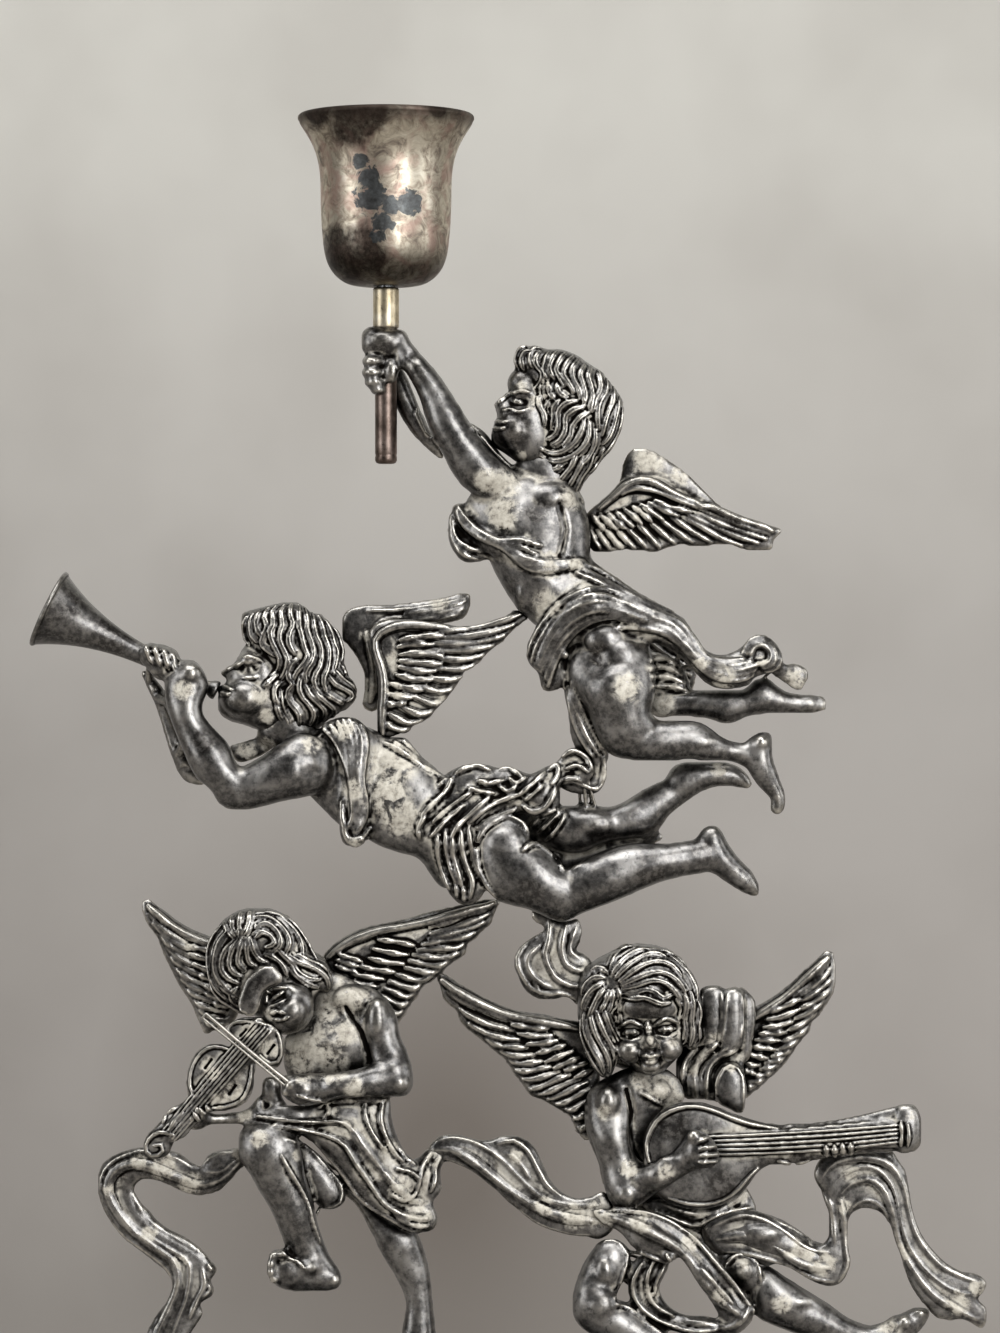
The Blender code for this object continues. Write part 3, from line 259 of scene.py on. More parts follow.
def laid(tree, lines, half, lift=0.3, sides=(1, -1)):
    """Lines (across, height) laid on a skin's front and back as strands that thin out to their ends, and
    swell and shrink a little on the way, as a hand cuts them in wax."""
    bands = []
    for side in sides:
        for number, line in enumerate(lines):
            band = []
            for k, point in enumerate(line):
                across, height = point[:2]
                hit = tree.ray_cast(Vector((across, height, FAR_OFF * side)), Vector((0, 0, -side)))[0]
                if hit is None or hit.z * side < TOO_DEEP:
                    hit = tree.find_nearest(Vector((across, height, CLOSE_BY * side)))[0]
                share = k / (len(line) - 1)
                taper = THIN_END + (1 - THIN_END) * min(1, 4 * share * (1 - share) + 0.25)
                taper *= 1 + UNEVEN * math.sin(9 * share + 2.3 * number)
                wide = point[3] if len(point) > 3 else half
                band.append((hit.x, hit.y, hit.z + lift * side, wide * taper))
            bands.append(band)
    return bands


def pressed(obj, lines, width, depth):
    """Presses lines (across, height) into the skin's front and back."""
    mesh = obj.data
    points = points_of(mesh)
    normals = points_of(mesh, "normal")
    step = math.sqrt(sum(face.area for face in mesh.polygons) / len(mesh.polygons))
    reach = max(0.5 * width, 0.9 * step)
    push = np.zeros(len(points))
    for line in lines:
        path = np.array(through([tuple(p[:2]) for p in line], 3) if len(line) > 2 else line)[:, :2]
        low, high = path.min(0) - 5 * reach, path.max(0) + 5 * reach
        near = np.flatnonzero(((points[:, :2] > low) & (points[:, :2] < high)).all(1))
        spot = points[near, :2]
        best = np.full(len(near), np.inf)
        for a, b in zip(path, path[1:]):
            run = b - a
            share = np.clip(((spot - a) @ run) / max(run @ run, 1e-9), 0, 1)
            best = np.minimum(best, ((spot - a - share[:, None] * run) ** 2).sum(1))
        push[near] = np.maximum(push[near], np.exp(-best / reach ** 2 / 2))
    facing = np.clip(np.abs(normals[:, 2]) * 2, 0, 1)
    pushed = points - normals * (push * facing * depth)[:, None]
    mesh.vertices.foreach_set("co", pushed.astype(np.float32).ravel())
    mesh.update()


# How broadly each kind of hollow is felt for, and how deep a full one is, in millimetres.
HOLLOW_KINDS = (("hollow", 0.55, 0.14), ("sunk", 2.2, 0.6))
# The most rounds of smoothing that a skin gets to feel for them.
MOST_ROUNDS = 160


def weathered_and_shaded(obj, wear_and_light_marks=""):
    """Stores where the skin is hollow, finely and broadly, and where it turns away to the sides and down,
    which the finish darkens as painted shade. Stores too the marks where it is cream, from dry silver
    cream and in places a painted highlight, or, with a reach below zero, dark, from tarnish and in places
    painted shade, for the finish."""
    mesh = obj.data
    points = points_of(mesh).astype(np.float64)
    normals = points_of(mesh, "normal")
    edges = np.empty(len(mesh.edges) * 2, dtype=np.int32)
    mesh.edges.foreach_get("vertices", edges)
    a, b = edges.reshape(-1, 2).T
    count = len(points)
    degree = np.maximum(np.bincount(a, minlength=count) + np.bincount(b, minlength=count), 1)
    length = np.linalg.norm(points[a] - points[b], axis=1).mean()
    levels = {}
    for name, reach, depth in HOLLOW_KINDS:
        smooth = points.copy()
        for _ in range(max(1, min(MOST_ROUNDS, round((reach / length) ** 2)))):
            total = np.stack([
                np.bincount(a, smooth[b, k], count) + np.bincount(b, smooth[a, k], count) for k in range(3)
            ], axis=1)
            smooth = 0.5 * smooth + 0.5 * total / degree[:, None]
        levels[name] = np.clip(((smooth - points) * normals).sum(1) / depth * 0.5 + 0.5, 0, 1)
    levels["aside"] = 1 - np.abs(normals[:, 2])
    levels["under"] = np.maximum(-normals[:, 1], 0)
    levels["cream"] = np.zeros(count)
    levels["dark"] = np.zeros(count)
    for across, height, reach in marks(wear_and_light_marks):
        away = ((points[:, 0] - across) ** 2 + (points[:, 1] - height) ** 2) / reach ** 2
        kept = "cream" if reach > 0 else "dark"
        levels[kept] = np.maximum(levels[kept], np.exp(-away))
    for name, values in levels.items():
        mesh.attributes.new(name, "FLOAT", "POINT").data.foreach_set("value", values.astype(np.float32))


def set_up(obj, name, body, slot, material, *nodes, wear_and_light_marks=""):
    """Finishes a piece: names it, stands it in the frame, hangs it on what it rides on, and hides the
    imported nodes that it stands for.
    """
    weathered_and_shaded(obj, wear_and_light_marks)
    obj.data.transform(Matrix(((MM, 0, 0, 0), (0, 0, -MM, 0), (0, MM, 0, MOUND_TOP * MM), (0, 0, 0, 1))))
    obj.name = name
    obj.data.name = name
    obj.data.materials.clear()
    obj.data.materials.append(material)
    only(obj)
    bpy.ops.object.shade_smooth()
    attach(obj, body)
    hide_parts(*nodes)


# How far apart the points of a blown-up form lie, in marks.
FORM_STEP = 1.5
# How far round its mark each relief given for a form holds fully, in square marks.
HOLD = 20


def inflated(outline, relief, fullness=0.9, flat=99.0):
    """A form blown up from its outline at marks: its middle lies at the relief given, one value or marks
    with their own, and it stands out to each side by fullness times its half width."""
    step = FORM_STEP
    outline = read(outline)
    edge = np.array(curved([outline[-1], *outline, *outline[:2]], 5))
    low = edge.min(0) - 2 * step
    wide, tall = (np.ceil((edge.max(0) + 2 * step - low) / step)).astype(int) + 1
    x, y = np.meshgrid(low[0] + step * np.arange(wide), low[1] + step * np.arange(tall))
    inside = np.zeros(x.shape, dtype=bool)
    for (ax, ay), (bx, by) in zip(edge, np.roll(edge, -1, axis=0)):
        if ay != by:
            inside ^= ((y < ay) != (y < by)) & (x < ax + (y - ay) * (bx - ax) / (by - ay))

    # The swell is that of a skin blown up over the outline, worked out by relaxing every other place in turn.
    swell = np.zeros(x.shape)
    odd = (np.add.outer(np.arange(tall), np.arange(wide)) % 2).astype(bool)
    pace = 2 / (1 + math.sin(math.pi / max(8, min(wide, tall))))
    for _ in range(3 * max(wide, tall)):
        for half in (inside & odd, inside & ~odd):
            around = np.zeros(x.shape)
            around[1:-1, 1:-1] = swell[:-2, 1:-1] + swell[2:, 1:-1] + swell[1:-1, :-2] + swell[1:-1, 2:]
            swell[half] += pace * ((around[half] + 2 * step * step) / 4 - swell[half])
    out = flat * np.tanh(fullness * np.sqrt(np.maximum(swell, 0)) / flat)
    heights = read(relief) if isinstance(relief, str) else [(0, 0, relief)]
    weight = [1 / ((x - p[0]) ** 2 + (y - p[1]) ** 2 + HOLD) ** 1.5 for p in heights]
    middle = sum(w * p[2] for w, p in zip(weight, heights)) / sum(weight)

    near = inside.copy()
    near[1:-1, 1:-1] |= inside[:-2, 1:-1] | inside[2:, 1:-1] | inside[1:-1, :-2] | inside[1:-1, 2:]
    near[1:-1, 1:-1] |= inside[:-2, :-2] | inside[2:, 2:] | inside[:-2, 2:] | inside[2:, :-2]
    count = int(near.sum())
    number = np.full(x.shape, -1)
    number[near] = np.arange(count)
    across, height = to_plane(x[near], y[near])
    front, back = (
        np.stack([across, height, (middle[near] + side * out[near]) / MARKS_PER_MM], axis=1)
        for side in (1, -1)
    )
    corners = np.stack([number[:-1, :-1], number[1:, :-1], number[1:, 1:], number[:-1, 1:]], axis=-1)
    corners = corners.reshape(-1, 4)
    corners = corners[(corners >= 0).all(1)]
    faces = np.concatenate([corners, corners[:, ::-1] + count])
    return merged(drafted("inflated", np.concatenate([front, back]).tolist(), [], faces.tolist()))


# Drawings

# Forms: an outline at marks, the relief of its middle (one value, or marks with their own), its fullness and,
# where it is flattened, how far it stands out at most.
FORMS = {}
# Folds, locks and feathers, which lie on the forms: guides at marks, how many run side by side between
# them (0 where each lies by itself), their half width, and then how far they stand off in mm and on which
# sides.
FOLDS = {}
# Fine places: balls for knuckles, knots and muscles.
KNOBS = {}
# Hollows pressed into the forms, and creases pressed in last: the line, its width and its depth in mm.
HOLLOWS = {}
CUTS = {}
# Where the castings are cream, from dry silver cream and in places a painted highlight, or, with a
# reach below zero, dark, from tarnish and in places painted shade: marks and their reach.
CREAM = {}
FORMS["torch_near_wing"] = [
    ("""586,530 587,514 600,502 612,492 620,482 628,478 640,476 652,476 665,480 680,490 695,500 710,505
    720,507 740,516 760,523 778,527 783,531 774,540 771,550 745,549 730,544 705,545 690,546 684,543 665,548
    655,551 625,549 605,552 592,549""", -10, 0.4, 5),
    ("""604,508 616,492 621,478 624,462 630,451 639,447 652,450 666,458 682,469 697,482 712,497 724,510
    708,512 690,504 672,497 650,496 625,506""", -16, 0.3, 6),
]
FOLDS["torch_near_wing"] = [
    ("""690,500 720,511 750,521 776,529; 695,508 720,519 748,529 768,535; 686,512 712,523 740,534 764,541;
    676,512 698,524 722,537 745,546; 668,516 685,528 705,541; 655,520 670,532 684,542; 640,524 652,535
    662,547; 626,528 636,538 645,548; 612,530 622,540 630,548; 600,530 606,540 613,549; 591,531 595,540
    600,548""", 14, 3.4, 0),
    ("""655,500 670,507 690,511; 648,503 662,510 676,516; 638,504 648,512 658,520; 630,508 640,515 648,522;
    620,511 628,518 636,525; 611,513 620,522 628,528; 602,515 610,522 618,529; 593,515 598,523
    604,529""", 9, 3.4, 0.5),
    ("600,508 615,495 628,484 642,480 656,483 672,492 690,500 712,507 740,519 774,529", 0, 4.2, 0.3),
    ("622,494 636,488 655,491 676,499 698,507", 0, 3, 0.4),
]
CREAM["torch_near_wing"] = "648,463,16 730,512,-26 690,498,-12 604,526,14 618,540,12 640,514,8 680,476,10"
FORMS["torch_far_wing"] = [
    ("""588,560 610,572 636,590 662,605 684,622 694,645 698,668 694,690 684,697 668,698 652,690 645,672
    636,650 616,628 598,604 584,580""", -34, 0.4, 5),
]
FOLDS["torch_far_wing"] = [
    ("""620,600 660,640 690,660; 612,605 650,652 694,676; 606,610 645,666 690,690; 600,612 640,676
    672,696""", 7, 3.4, 0),
]
FORMS["trumpet_near_wing"] = [
    ("""380,737 377,715 379,690 377,668 370,648 370,632 378,624 395,619 420,621 450,625 466,629 482,626
    500,620 510,613 519,610 527,618 519,625 509,634 502,642 490,650 478,663 467,668 459,681 448,696 438,706
    428,718 408,728 394,736""", 8, 0.4, 5),
]
FOLDS["trumpet_near_wing"] = [
    ("""425,632 470,629 500,622 521,614; 420,640 460,641 490,637 509,631; 415,650 450,652 475,650 491,647;
    408,660 440,665 460,667 476,662; 402,672 425,680 447,683 458,680; 396,686 415,694 432,702 442,701;
    388,706 402,714 415,719 427,716; 384,722 392,727 402,730 411,727""", 12, 3.8, 0),
    ("""400,640 425,636 442,636; 398,648 415,645 431,646; 400,657 422,656 446,659; 400,663 420,667 438,667;
    398,671 416,675 433,675; 393,681 410,685 426,688; 388,692 400,695 412,697; 385,704 395,704
    405,703""", 9, 3.8, 0.5),
    ("383,734 383,715 385,690 383,670 377,652 376,640 383,632 398,626 418,625 448,628", 0, 4.6, 0.3),
]
CREAM["trumpet_near_wing"] = "420,640,-16 395,690,10 392,662,8 440,700,6"
FORMS["trumpet_far_wing"] = [
    ("""342,640 341,625 344,613 352,608 366,605 395,604 420,601 445,597 462,592 470,594 471,601 468,612
    463,618 450,622 430,626 410,630 394,634 386,642 382,660 384,684 382,704 372,712 362,706 364,690 364,674
    357,658 347,644""", -15, 0.5, 6),
]
FOLDS["trumpet_far_wing"] = [
    ("366,609 395,608 425,605 448,600 466,596", 0, 2.2, 0),
    ("""405,613 430,610 450,606 468,600; 405,619 425,617 445,613 466,608; 400,626 420,624 440,621
    462,615""", 4, 3.2, 0),
    ("366,634 369,648 372,664 373,684 369,702", 0, 4, 0.1),
    ("374,626 386,619 404,617", 0, 2, 0),
]
CREAM["trumpet_far_wing"] = "366,690,12 440,602,10 366,636,7"
FORMS["violin_left_wing"] = [
    ("""214,1030 205,1036 196,1018 190,1004 178,986 170,970 162,953 155,936 145,923 140,906 142,901 147,900
    152,904 162,913 176,923 190,932 202,938 220,940 240,950 240,990 235,1020""", -16, 0.4, 5),
]
FOLDS["violin_left_wing"] = [
    ("""205,945 180,932 162,920 146,907; 200,951 180,942 162,932 147,916; 205,958 185,950 168,942 152,930;
    205,966 190,962 175,955 162,945; 207,976 192,972 180,966 168,958; 210,988 196,984 184,978 175,972;
    216,998 202,994 190,990 180,984; 222,1009 208,1005 198,1003 190,1000; 226,1020 214,1018 205,1015
    196,1010; 228,1031 218,1030 211,1028 203,1024""", 12, 3.6, 0),
    ("""212,952 200,949 188,946; 212,964 200,960 189,956; 214,976 204,973 195,969; 218,988 209,985 201,981;
    222,998 212,996 204,992; 228,1008 220,1006 212,1003""", 7, 3.4, 0.5),
    ("218,944 197,938 176,926 160,915 146,904", 0, 4.4, 0.3),
]
CREAM["violin_left_wing"] = "190,950,9 215,1010,6"
FORMS["violin_right_wing"] = [
    ("""322,962 330,948 345,938 360,930 380,925 405,920 425,914 450,908 475,902 498,899 500,903 494,914
    491,924 480,933 475,940 466,945 466,953 456,961 447,966 441,976 430,980 421,988 417,998 410,1004
    407,1011 400,1022 392,1026 375,1010 350,1000 330,990""", -14, 0.4, 5),
]
FOLDS["violin_right_wing"] = [
    ("""430,927 455,920 478,912 496,904; 432,936 455,930 475,923 491,918; 425,943 447,938 465,935 480,931;
    418,951 440,949 455,949 466,947; 412,957 430,961 445,962 457,958; 408,966 425,970 436,972 446,968;
    396,975 412,980 425,982 435,977; 388,985 402,990 412,993 420,988; 380,994 392,999 402,1004 411,1003;
    378,1006 388,1012 396,1016 404,1014""", 13, 3.6, 0),
    ("""378,940 395,942 414,946; 372,951 388,955 406,957; 366,962 384,966 402,968; 355,972 370,975 387,977;
    345,981 360,983 376,985; 340,990 355,994 372,998""", 7, 3.6, 0.5),
    ("338,955 350,958 362,962; 334,966 345,970 356,972", 3, 3, 0.6),
    ("325,957 340,946 358,937 380,930 405,926 430,921 460,912 496,902", 0, 4.6, 0.3),
]
FORMS["lute_left_wing"] = [
    ("""436,977 442,974 456,983 475,994 495,1004 520,1013 550,1018 574,1022 596,1030 600,1060 600,1090
    594,1120 590,1143 577,1132 572,1119 562,1112 552,1106 540,1100 530,1096 521,1082 513,1073 507,1062
    495,1052 483,1042 470,1032 460,1022 457,1012 449,1006 443,999 440,987""", -14, 0.4, 5),
]
FOLDS["lute_left_wing"] = [
    ("""520,1022 490,1013 465,1003 446,992; 515,1033 490,1028 475,1022 459,1015; 520,1043 500,1042 485,1038
    471,1031; 532,1052 515,1053 505,1053 494,1050; 540,1060 525,1062 515,1062 506,1060; 548,1067 535,1069
    525,1071 513,1071; 560,1072 548,1076 535,1080 521,1082; 572,1076 558,1081 545,1088 530,1094; 583,1081
    570,1086 555,1093 542,1099; 592,1084 580,1090 566,1098 552,1105; 590,1098 582,1102 572,1108 562,1111;
    588,1112 583,1115 577,1119 571,1120; 588,1128 585,1130 581,1132 577,1132""", 15, 3.6, 0),
    ("""548,1029 532,1028 512,1025; 553,1037 537,1038 519,1036; 560,1042 546,1046 531,1048; 570,1048
    556,1053 541,1058; 578,1056 565,1062 551,1068; 586,1062 575,1066 563,1070; 592,1070 584,1074
    575,1078""", 8, 3.6, 0.5),
    ("578,1028 545,1021 515,1016 490,1007 465,995 440,980", 0, 4.8, 0.3),
]
FORMS["lute_right_wing"] = [
    ("""720,1030 735,1020 750,1012 757,1008 775,998 795,982 812,966 826,953 831,951 835,956 837,972 836,988
    831,1000 822,1013 813,1023 810,1033 800,1044 792,1056 782,1069 768,1081 755,1093 746,1100 735,1090
    722,1060""", -16, 0.4, 5),
]
FOLDS["lute_right_wing"] = [
    ("""785,1003 805,988 818,975 831,960; 800,997 812,990 824,980 834,970; 800,1005 812,999 824,991 834,985;
    800,1014 812,1010 822,1004 831,999; 790,1027 802,1024 813,1017 822,1011; 784,1042 795,1038 804,1034
    811,1030; 778,1052 788,1049 796,1046 801,1042; 770,1060 779,1058 786,1057 792,1054; 764,1067 772,1066
    779,1065 784,1064; 757,1075 765,1075 771,1074 777,1072; 750,1083 757,1083 763,1083 769,1080; 746,1091
    751,1090 755,1090 759,1089""", 14, 3.5, 0),
    ("""768,1012 782,1008 799,1000; 768,1021 782,1019 799,1012; 762,1030 775,1030 790,1026; 758,1037
    770,1037 783,1037; 752,1044 764,1045 777,1046; 750,1052 760,1055 770,1057; 744,1062 752,1065 760,1065;
    743,1071 749,1073 755,1075""", 9, 3.5, 0.5),
    ("748,1022 770,1008 790,992 810,974 829,956", 0, 4.4, 0.3),
]
FORMS["left_ribbon"] = [
    ("""246,1148 238,1147 222,1149 209,1154 203,1166 192,1162 178,1152 160,1149 145,1146 127,1150 111,1157
    101,1167 98,1182 99,1195 105,1212 115,1227 127,1240 141,1251 155,1262 166,1271 172,1281 172,1291
    168,1301 160,1311 152,1323 146,1337 146,1355 150,1375 162,1395 185,1413 215,1427 250,1440 290,1452
    320,1462 324,1432 290,1420 255,1410 225,1398 200,1385 186,1370 182,1352 190,1334 199,1320 203,1312
    199,1304 210,1297 214,1290 210,1280 217,1270 211,1261 200,1252 184,1242 166,1232 152,1222 142,1210
    135,1198 134,1188 139,1180 147,1178 160,1180 176,1187 190,1193 204,1194 218,1190 230,1180 238,1170
    247,1161""", "240,1155,14 160,1165,8 105,1185,0 180,1280,0 165,1360,0 310,1445,6", 0.55, 7),
]
FOLDS["left_ribbon"] = [
    ("""240,1160 222,1177 200,1183 175,1175 150,1165 130,1163 114,1172 108,1188 116,1208 132,1228 155,1246
    175,1262 178,1285 168,1310 157,1335 154,1360 170,1388 210,1412 260,1432 312,1450""", 0, 6, -0.5),
    ("""236,1151 222,1152 209,1158 202,1168; 101,1195 101,1178 112,1162 130,1153 150,1150 172,1155 192,1166;
    112,1222 128,1238 150,1254 167,1268 175,1284""", 0, 2, -0.15),
    ("132,1192 140,1208 160,1222 185,1240 205,1257", 0, 4.6, -0.5),
    ("""121,1196 126,1212 140,1228 164,1245 187,1260 190,1276 186,1300 176,1325 170,1350 185,1378 228,1404
    282,1425 318,1438""", 0, 2.2, -0.15),
    ("202,1268 205,1284 197,1300 190,1318", 0, 3, -0.15),
    ("208,1264 212,1270", 0, 2.6, -0.15),
    ("207,1282 210,1289 203,1297; 170,1300 162,1318 152,1334", 0, 2.4, -0.15),
    ("206,1170 222,1169 236,1158", 0, 1.8, -0.15),
]
CREAM["left_ribbon"] = "165,1166,13 192,1182,12 140,1160,8 240,1152,7 150,1232,8 180,1262,8 110,1190,7"
FORMS["middle_ribbon"] = [
    ("""428,1148 438,1137 450,1133 465,1136 480,1140 490,1140 500,1136 512,1135 526,1140 536,1150 543,1165
    550,1180 558,1189 572,1196 590,1195 603,1190 614,1205 614,1225 600,1237 585,1234 565,1231 550,1228
    535,1220 520,1210 505,1198 492,1184 478,1174 462,1164 450,1160 440,1162
    430,1158""", "440,1150,8 520,1170,4 600,1215,16", 0.55, 7),
]
FOLDS["middle_ribbon"] = [
    ("434,1149 452,1149 472,1159 492,1175 512,1191 535,1205 560,1215 598,1219", 0, 6, -0.5),
    ("""436,1141 452,1137 470,1140 486,1147 500,1157 516,1173 532,1189 548,1199 575,1204
    604,1202""", 0, 2.2, -0.15),
    ("498,1143 514,1140 528,1150 538,1168 548,1185 560,1194", 0, 3, -0.15),
    ("503,1152 514,1156 524,1168 530,1179; 446,1158 462,1163 480,1174 496,1188", 0, 2, -0.15),
    ("520,1209 540,1222 565,1230 590,1233", 0, 2.4, -0.15),
]
CREAM["middle_ribbon"] = "600,1212,15 574,1214,13 516,1156,8 545,1205,10"
FORMS["right_ribbon"] = [
    ("""700,1222 715,1212 735,1206 755,1209 775,1217 795,1230 808,1241 820,1243 828,1235 828,1218 827,1205
    825,1195 820,1187 815,1180 813,1172 816,1163 823,1153 835,1150 850,1149 870,1149 890,1149 896,1158
    904,1170 908,1190 911,1210 918,1230 930,1248 943,1262 955,1269 970,1271 980,1275 985,1281 982,1290
    975,1297 984,1305 986,1315 981,1327 972,1322 962,1317 948,1318 935,1315 924,1303 914,1290 907,1277
    902,1262 897,1245 892,1230 887,1218 879,1210 870,1207 860,1206 851,1211 847,1220 846,1235 848,1252
    848,1265 843,1277 835,1283 822,1283 808,1277 795,1268 783,1262 772,1262 765,1264 745,1258 722,1254
    706,1242""", 15, 0.55, 7),
]
FOLDS["right_ribbon"] = [
    ("""819,1180 830,1163 850,1156 872,1156 890,1164 902,1184 908,1212 918,1238 938,1262 960,1274 980,1281;
    838,1194 850,1181 868,1177 882,1187 891,1209 898,1239 911,1266 932,1292 958,1308
    980,1319""", 0, 5, -0.5),
    ("""831,1184 843,1171 862,1164 880,1170 893,1189 899,1217 908,1245 926,1269 950,1287 974,1293; 848,1209
    858,1199 872,1199 884,1210 891,1230""", 0, 2, -0.15),
    ("839,1198 843,1220 844,1245 846,1262 838,1278", 0, 3.4, -0.15),
    ("822,1188 830,1204 833,1226 834,1244", 0, 4.4, -0.5),
    ("""712,1224 735,1214 757,1215 782,1228 806,1246 826,1250; 722,1249 745,1251 770,1258 790,1264 812,1276
    832,1279""", 0, 2.6, -0.15),
    ("716,1237 745,1233 772,1243 800,1261 828,1266", 0, 6, -0.5),
]
CREAM["right_ribbon"] = "850,1170,10 842,1204,9 822,1262,13 900,1250,9 955,1300,12 975,1285,8 790,1245,10"
FORMS["crest_ribbon"] = [
    ("""531,911 545,910 556,919 567,921 577,918 581,926 581,936 577,945 574,950 582,953 590,960 594,970
    590,985 584,1000 577,1004 572,998 563,996 552,999 540,998 530,993 523,985 518,974 514,965 515,957
    520,949 530,942 540,934 546,927 535,921""", 10, 0.5, 7),
]
FOLDS["crest_ribbon"] = [
    ("550,918 549,938 545,952 549,966 557,978 572,985 586,985", 0, 3.4, -0.15),
    ("566,924 562,940 562,952 567,964 580,970 590,968", 0, 3.6, -0.15),
    ("577,925 572,938 570,950 580,958", 0, 2.4, -0.15),
    ("""543,932 530,941 520,951 517,961 522,975 531,987 546,993 562,992 575,998; 540,944 529,954 528,966
    536,978 550,986""", 0, 3, -0.15),
    ("548,998 540,990 533,980", 0, 2, -0.15),
]
CREAM["crest_ribbon"] = "556,930,7 584,965,6 548,962,-18 534,984,-14 578,948,-8 568,990,-10"
FORMS["fiddle"] = [
    ("""262,1014 272,1018 284,1032 286,1048 280,1064 268,1062 259,1054 257,1064 256,1080 251,1094 238,1104
    216,1108 205,1104 196,1098 190,1088 190,1070 196,1054 207,1043 222,1041 232,1044 234,1038 228,1028
    234,1019 248,1014""", 38, 0.35, 7),
    ("""206,1098 196,1112 186,1124 178,1134 173,1146 168,1152 158,1155 149,1150 146,1142 150,1132 158,1124
    168,1114 176,1104 184,1100 196,1090""", 38, 0.6, 12),
    ("256,1015 270,1022 276,1030 240,1072 205,1112 182,1136 166,1130 190,1098 226,1056", 44, 0.3, 4),
]
FOLDS["fiddle"] = [
    ("""258,1019,0,1.6 276,1024,0,1.6 283,1040,0,1.6 282,1056,0,1.6 272,1060,0,1.6 262,1052,0,1.6; 254,1062
    252,1080 244,1096 228,1103 212,1104; 254,1018 238,1019 230,1027 236,1040; 232,1046 216,1043 203,1050
    194,1066 193,1084 200,1096""", 0, 1.8, 0.1, (1,)),
    ("258,1017 222,1058 192,1094 166,1126; 273,1028 236,1070 206,1104 178,1136", 6, 1.1, 0.15, (1,)),
    ("176,1130 162,1128 151,1136 149,1146 157,1152 166,1147 164,1140 158,1141", 0, 2.2, 0.1, (1,)),
    ("178,1104 170,1110 166,1118; 186,1108 178,1116 172,1126", 2, 2.2, 0.1, (1,)),
    ("197,1108 205,1120; 203,1104 211,1116; 209,1101 216,1112", 3, 2.6, 0.8, (1,)),
]
CREAM["fiddle"] = "250,1026,9 272,1046,11 236,1090,12 214,1068,9 206,1058,8 222,1098,8"
CUTS["fiddle"] = [
    ("248,1026 243,1032", 0.5, 0.4),
    ("276,1042 270,1050", 0.5, 0.4),
    ("214,1056 208,1064", 0.5, 0.4),
    ("238,1082 232,1090", 0.5, 0.4),
]
FORMS["pear"] = [
    ("""642,1152 643,1136 650,1120 662,1107 678,1100 696,1099 714,1104 732,1111 750,1117 770,1121 790,1121
    820,1119 850,1114 880,1107 896,1103 906,1106 908,1125 906,1142 890,1148 860,1150 830,1153 810,1157
    790,1160 768,1161 756,1168 748,1179 738,1191 722,1200 700,1205 680,1203 664,1196 652,1186
    645,1170""", 32, 0.45, 10),
    ("""892,1108 898,1102 909,1101 915,1108 918,1120 918,1136 913,1146 902,1149 893,1146
    890,1128""", 34, 0.9, 16),
    ("""716,1130 760,1127 820,1122 880,1117 900,1118 900,1142 880,1143 820,1147 760,1150
    718,1152""", 40, 0.3, 4),
]
FOLDS["pear"] = [
    ("""648,1158 645,1142 650,1126 660,1113 676,1105 694,1103 712,1107 732,1115 752,1121
    776,1125""", 0, 2.6, 0.1, (1,)),
    ("668,1194 684,1199 704,1200 722,1195 736,1185 746,1173 756,1164", 0, 2.2, 0, (1,)),
    ("700,1133 760,1130 830,1126 893,1121; 700,1150 760,1149 830,1145 893,1138", 5, 1.3, 0.15, (1,)),
    ("897,1118 898,1130 897,1142; 904,1120 905,1131 904,1142", 2, 2.2, 0.3, (1,)),
    ("824,1152 823,1142; 832,1152 831,1141; 840,1151 839,1140; 848,1150 847,1139", 4, 3.6, 0.7, (1,)),
    ("776,1157 790,1160 806,1157", 0, 2.6, 0, (1,)),
]
CREAM["pear"] = "700,1132,8 906,1112,5 672,1120,-18 800,1125,-60 720,1180,-16"
FORMS["cloak"] = [
    ("""700,992 706,987 716,985 723,990 724,1010 724,1030 720,1044 712,1050 704,1050 702,1030
    700,1010""", 0, 1, 12),
    ("722,995 730,988 738,988 743,995 743,1015 743,1035 739,1048 728,1054 720,1050 722,1020", 2, 1, 12),
    ("738,991 748,993 755,1002 756,1020 753,1040 751,1056 744,1062 738,1050", -6, 0.8, 8),
    ("""700,1044 724,1044 742,1050 744,1064 744,1100 730,1104 706,1100 684,1098 677,1080 677,1060
    688,1046""", -6, 0.5, 10),
    ("714,1080 719,1067 730,1061 740,1067 745,1080 745,1100 741,1112 729,1108 717,1100", 6, 0.9, 16),
]
FOLDS["cloak"] = [
    ("""702,994 701,1016 704,1036; 721,992 722,1016 719,1040; 727,994 725,1018 722,1040; 742,996 743,1016
    741,1036""", 0, 1.8, 0.1),
    ("704,1038 693,1050 684,1064 682,1084", 0, 4.4, -0.1),
    ("716,1044 702,1056 694,1072 696,1096", 0, 4.8, -0.1),
    ("736,1050 720,1056 708,1070 706,1098", 0, 4, -0.1),
    ("706,1050 697,1062 689,1076 689,1094; 726,1048 712,1058 701,1074 702,1094", 0, 1.6, 0.2),
    ("717,1102 716,1084 721,1070 731,1064 740,1071 743,1086 742,1110", 0, 2.2, 0.1),
]
CREAM["cloak"] = "700,1052,10 714,1040,8 736,1056,9 692,1070,7 730,1066,6"
FORMS["torch_head"] = [
    ("""517,370 515,360 517,352 522,347 530,346 545,349 560,350 575,355 588,364 600,372 610,384 620,398
    623,410 619,432 610,449 600,460 592,472 582,484 574,498 560,488 546,480 544,462 545,440 540,415 536,395
    530,380""", 2, 0.85, 46),
    ("""518,370 513,382 510,391 505,396 500,400 495,404 497,411 498,417 495,423 494,428 491,435 492,442
    499,449 510,456 520,463 534,466 548,458 556,436 550,405 540,385 528,374""", 2, 1.1, 36),
]
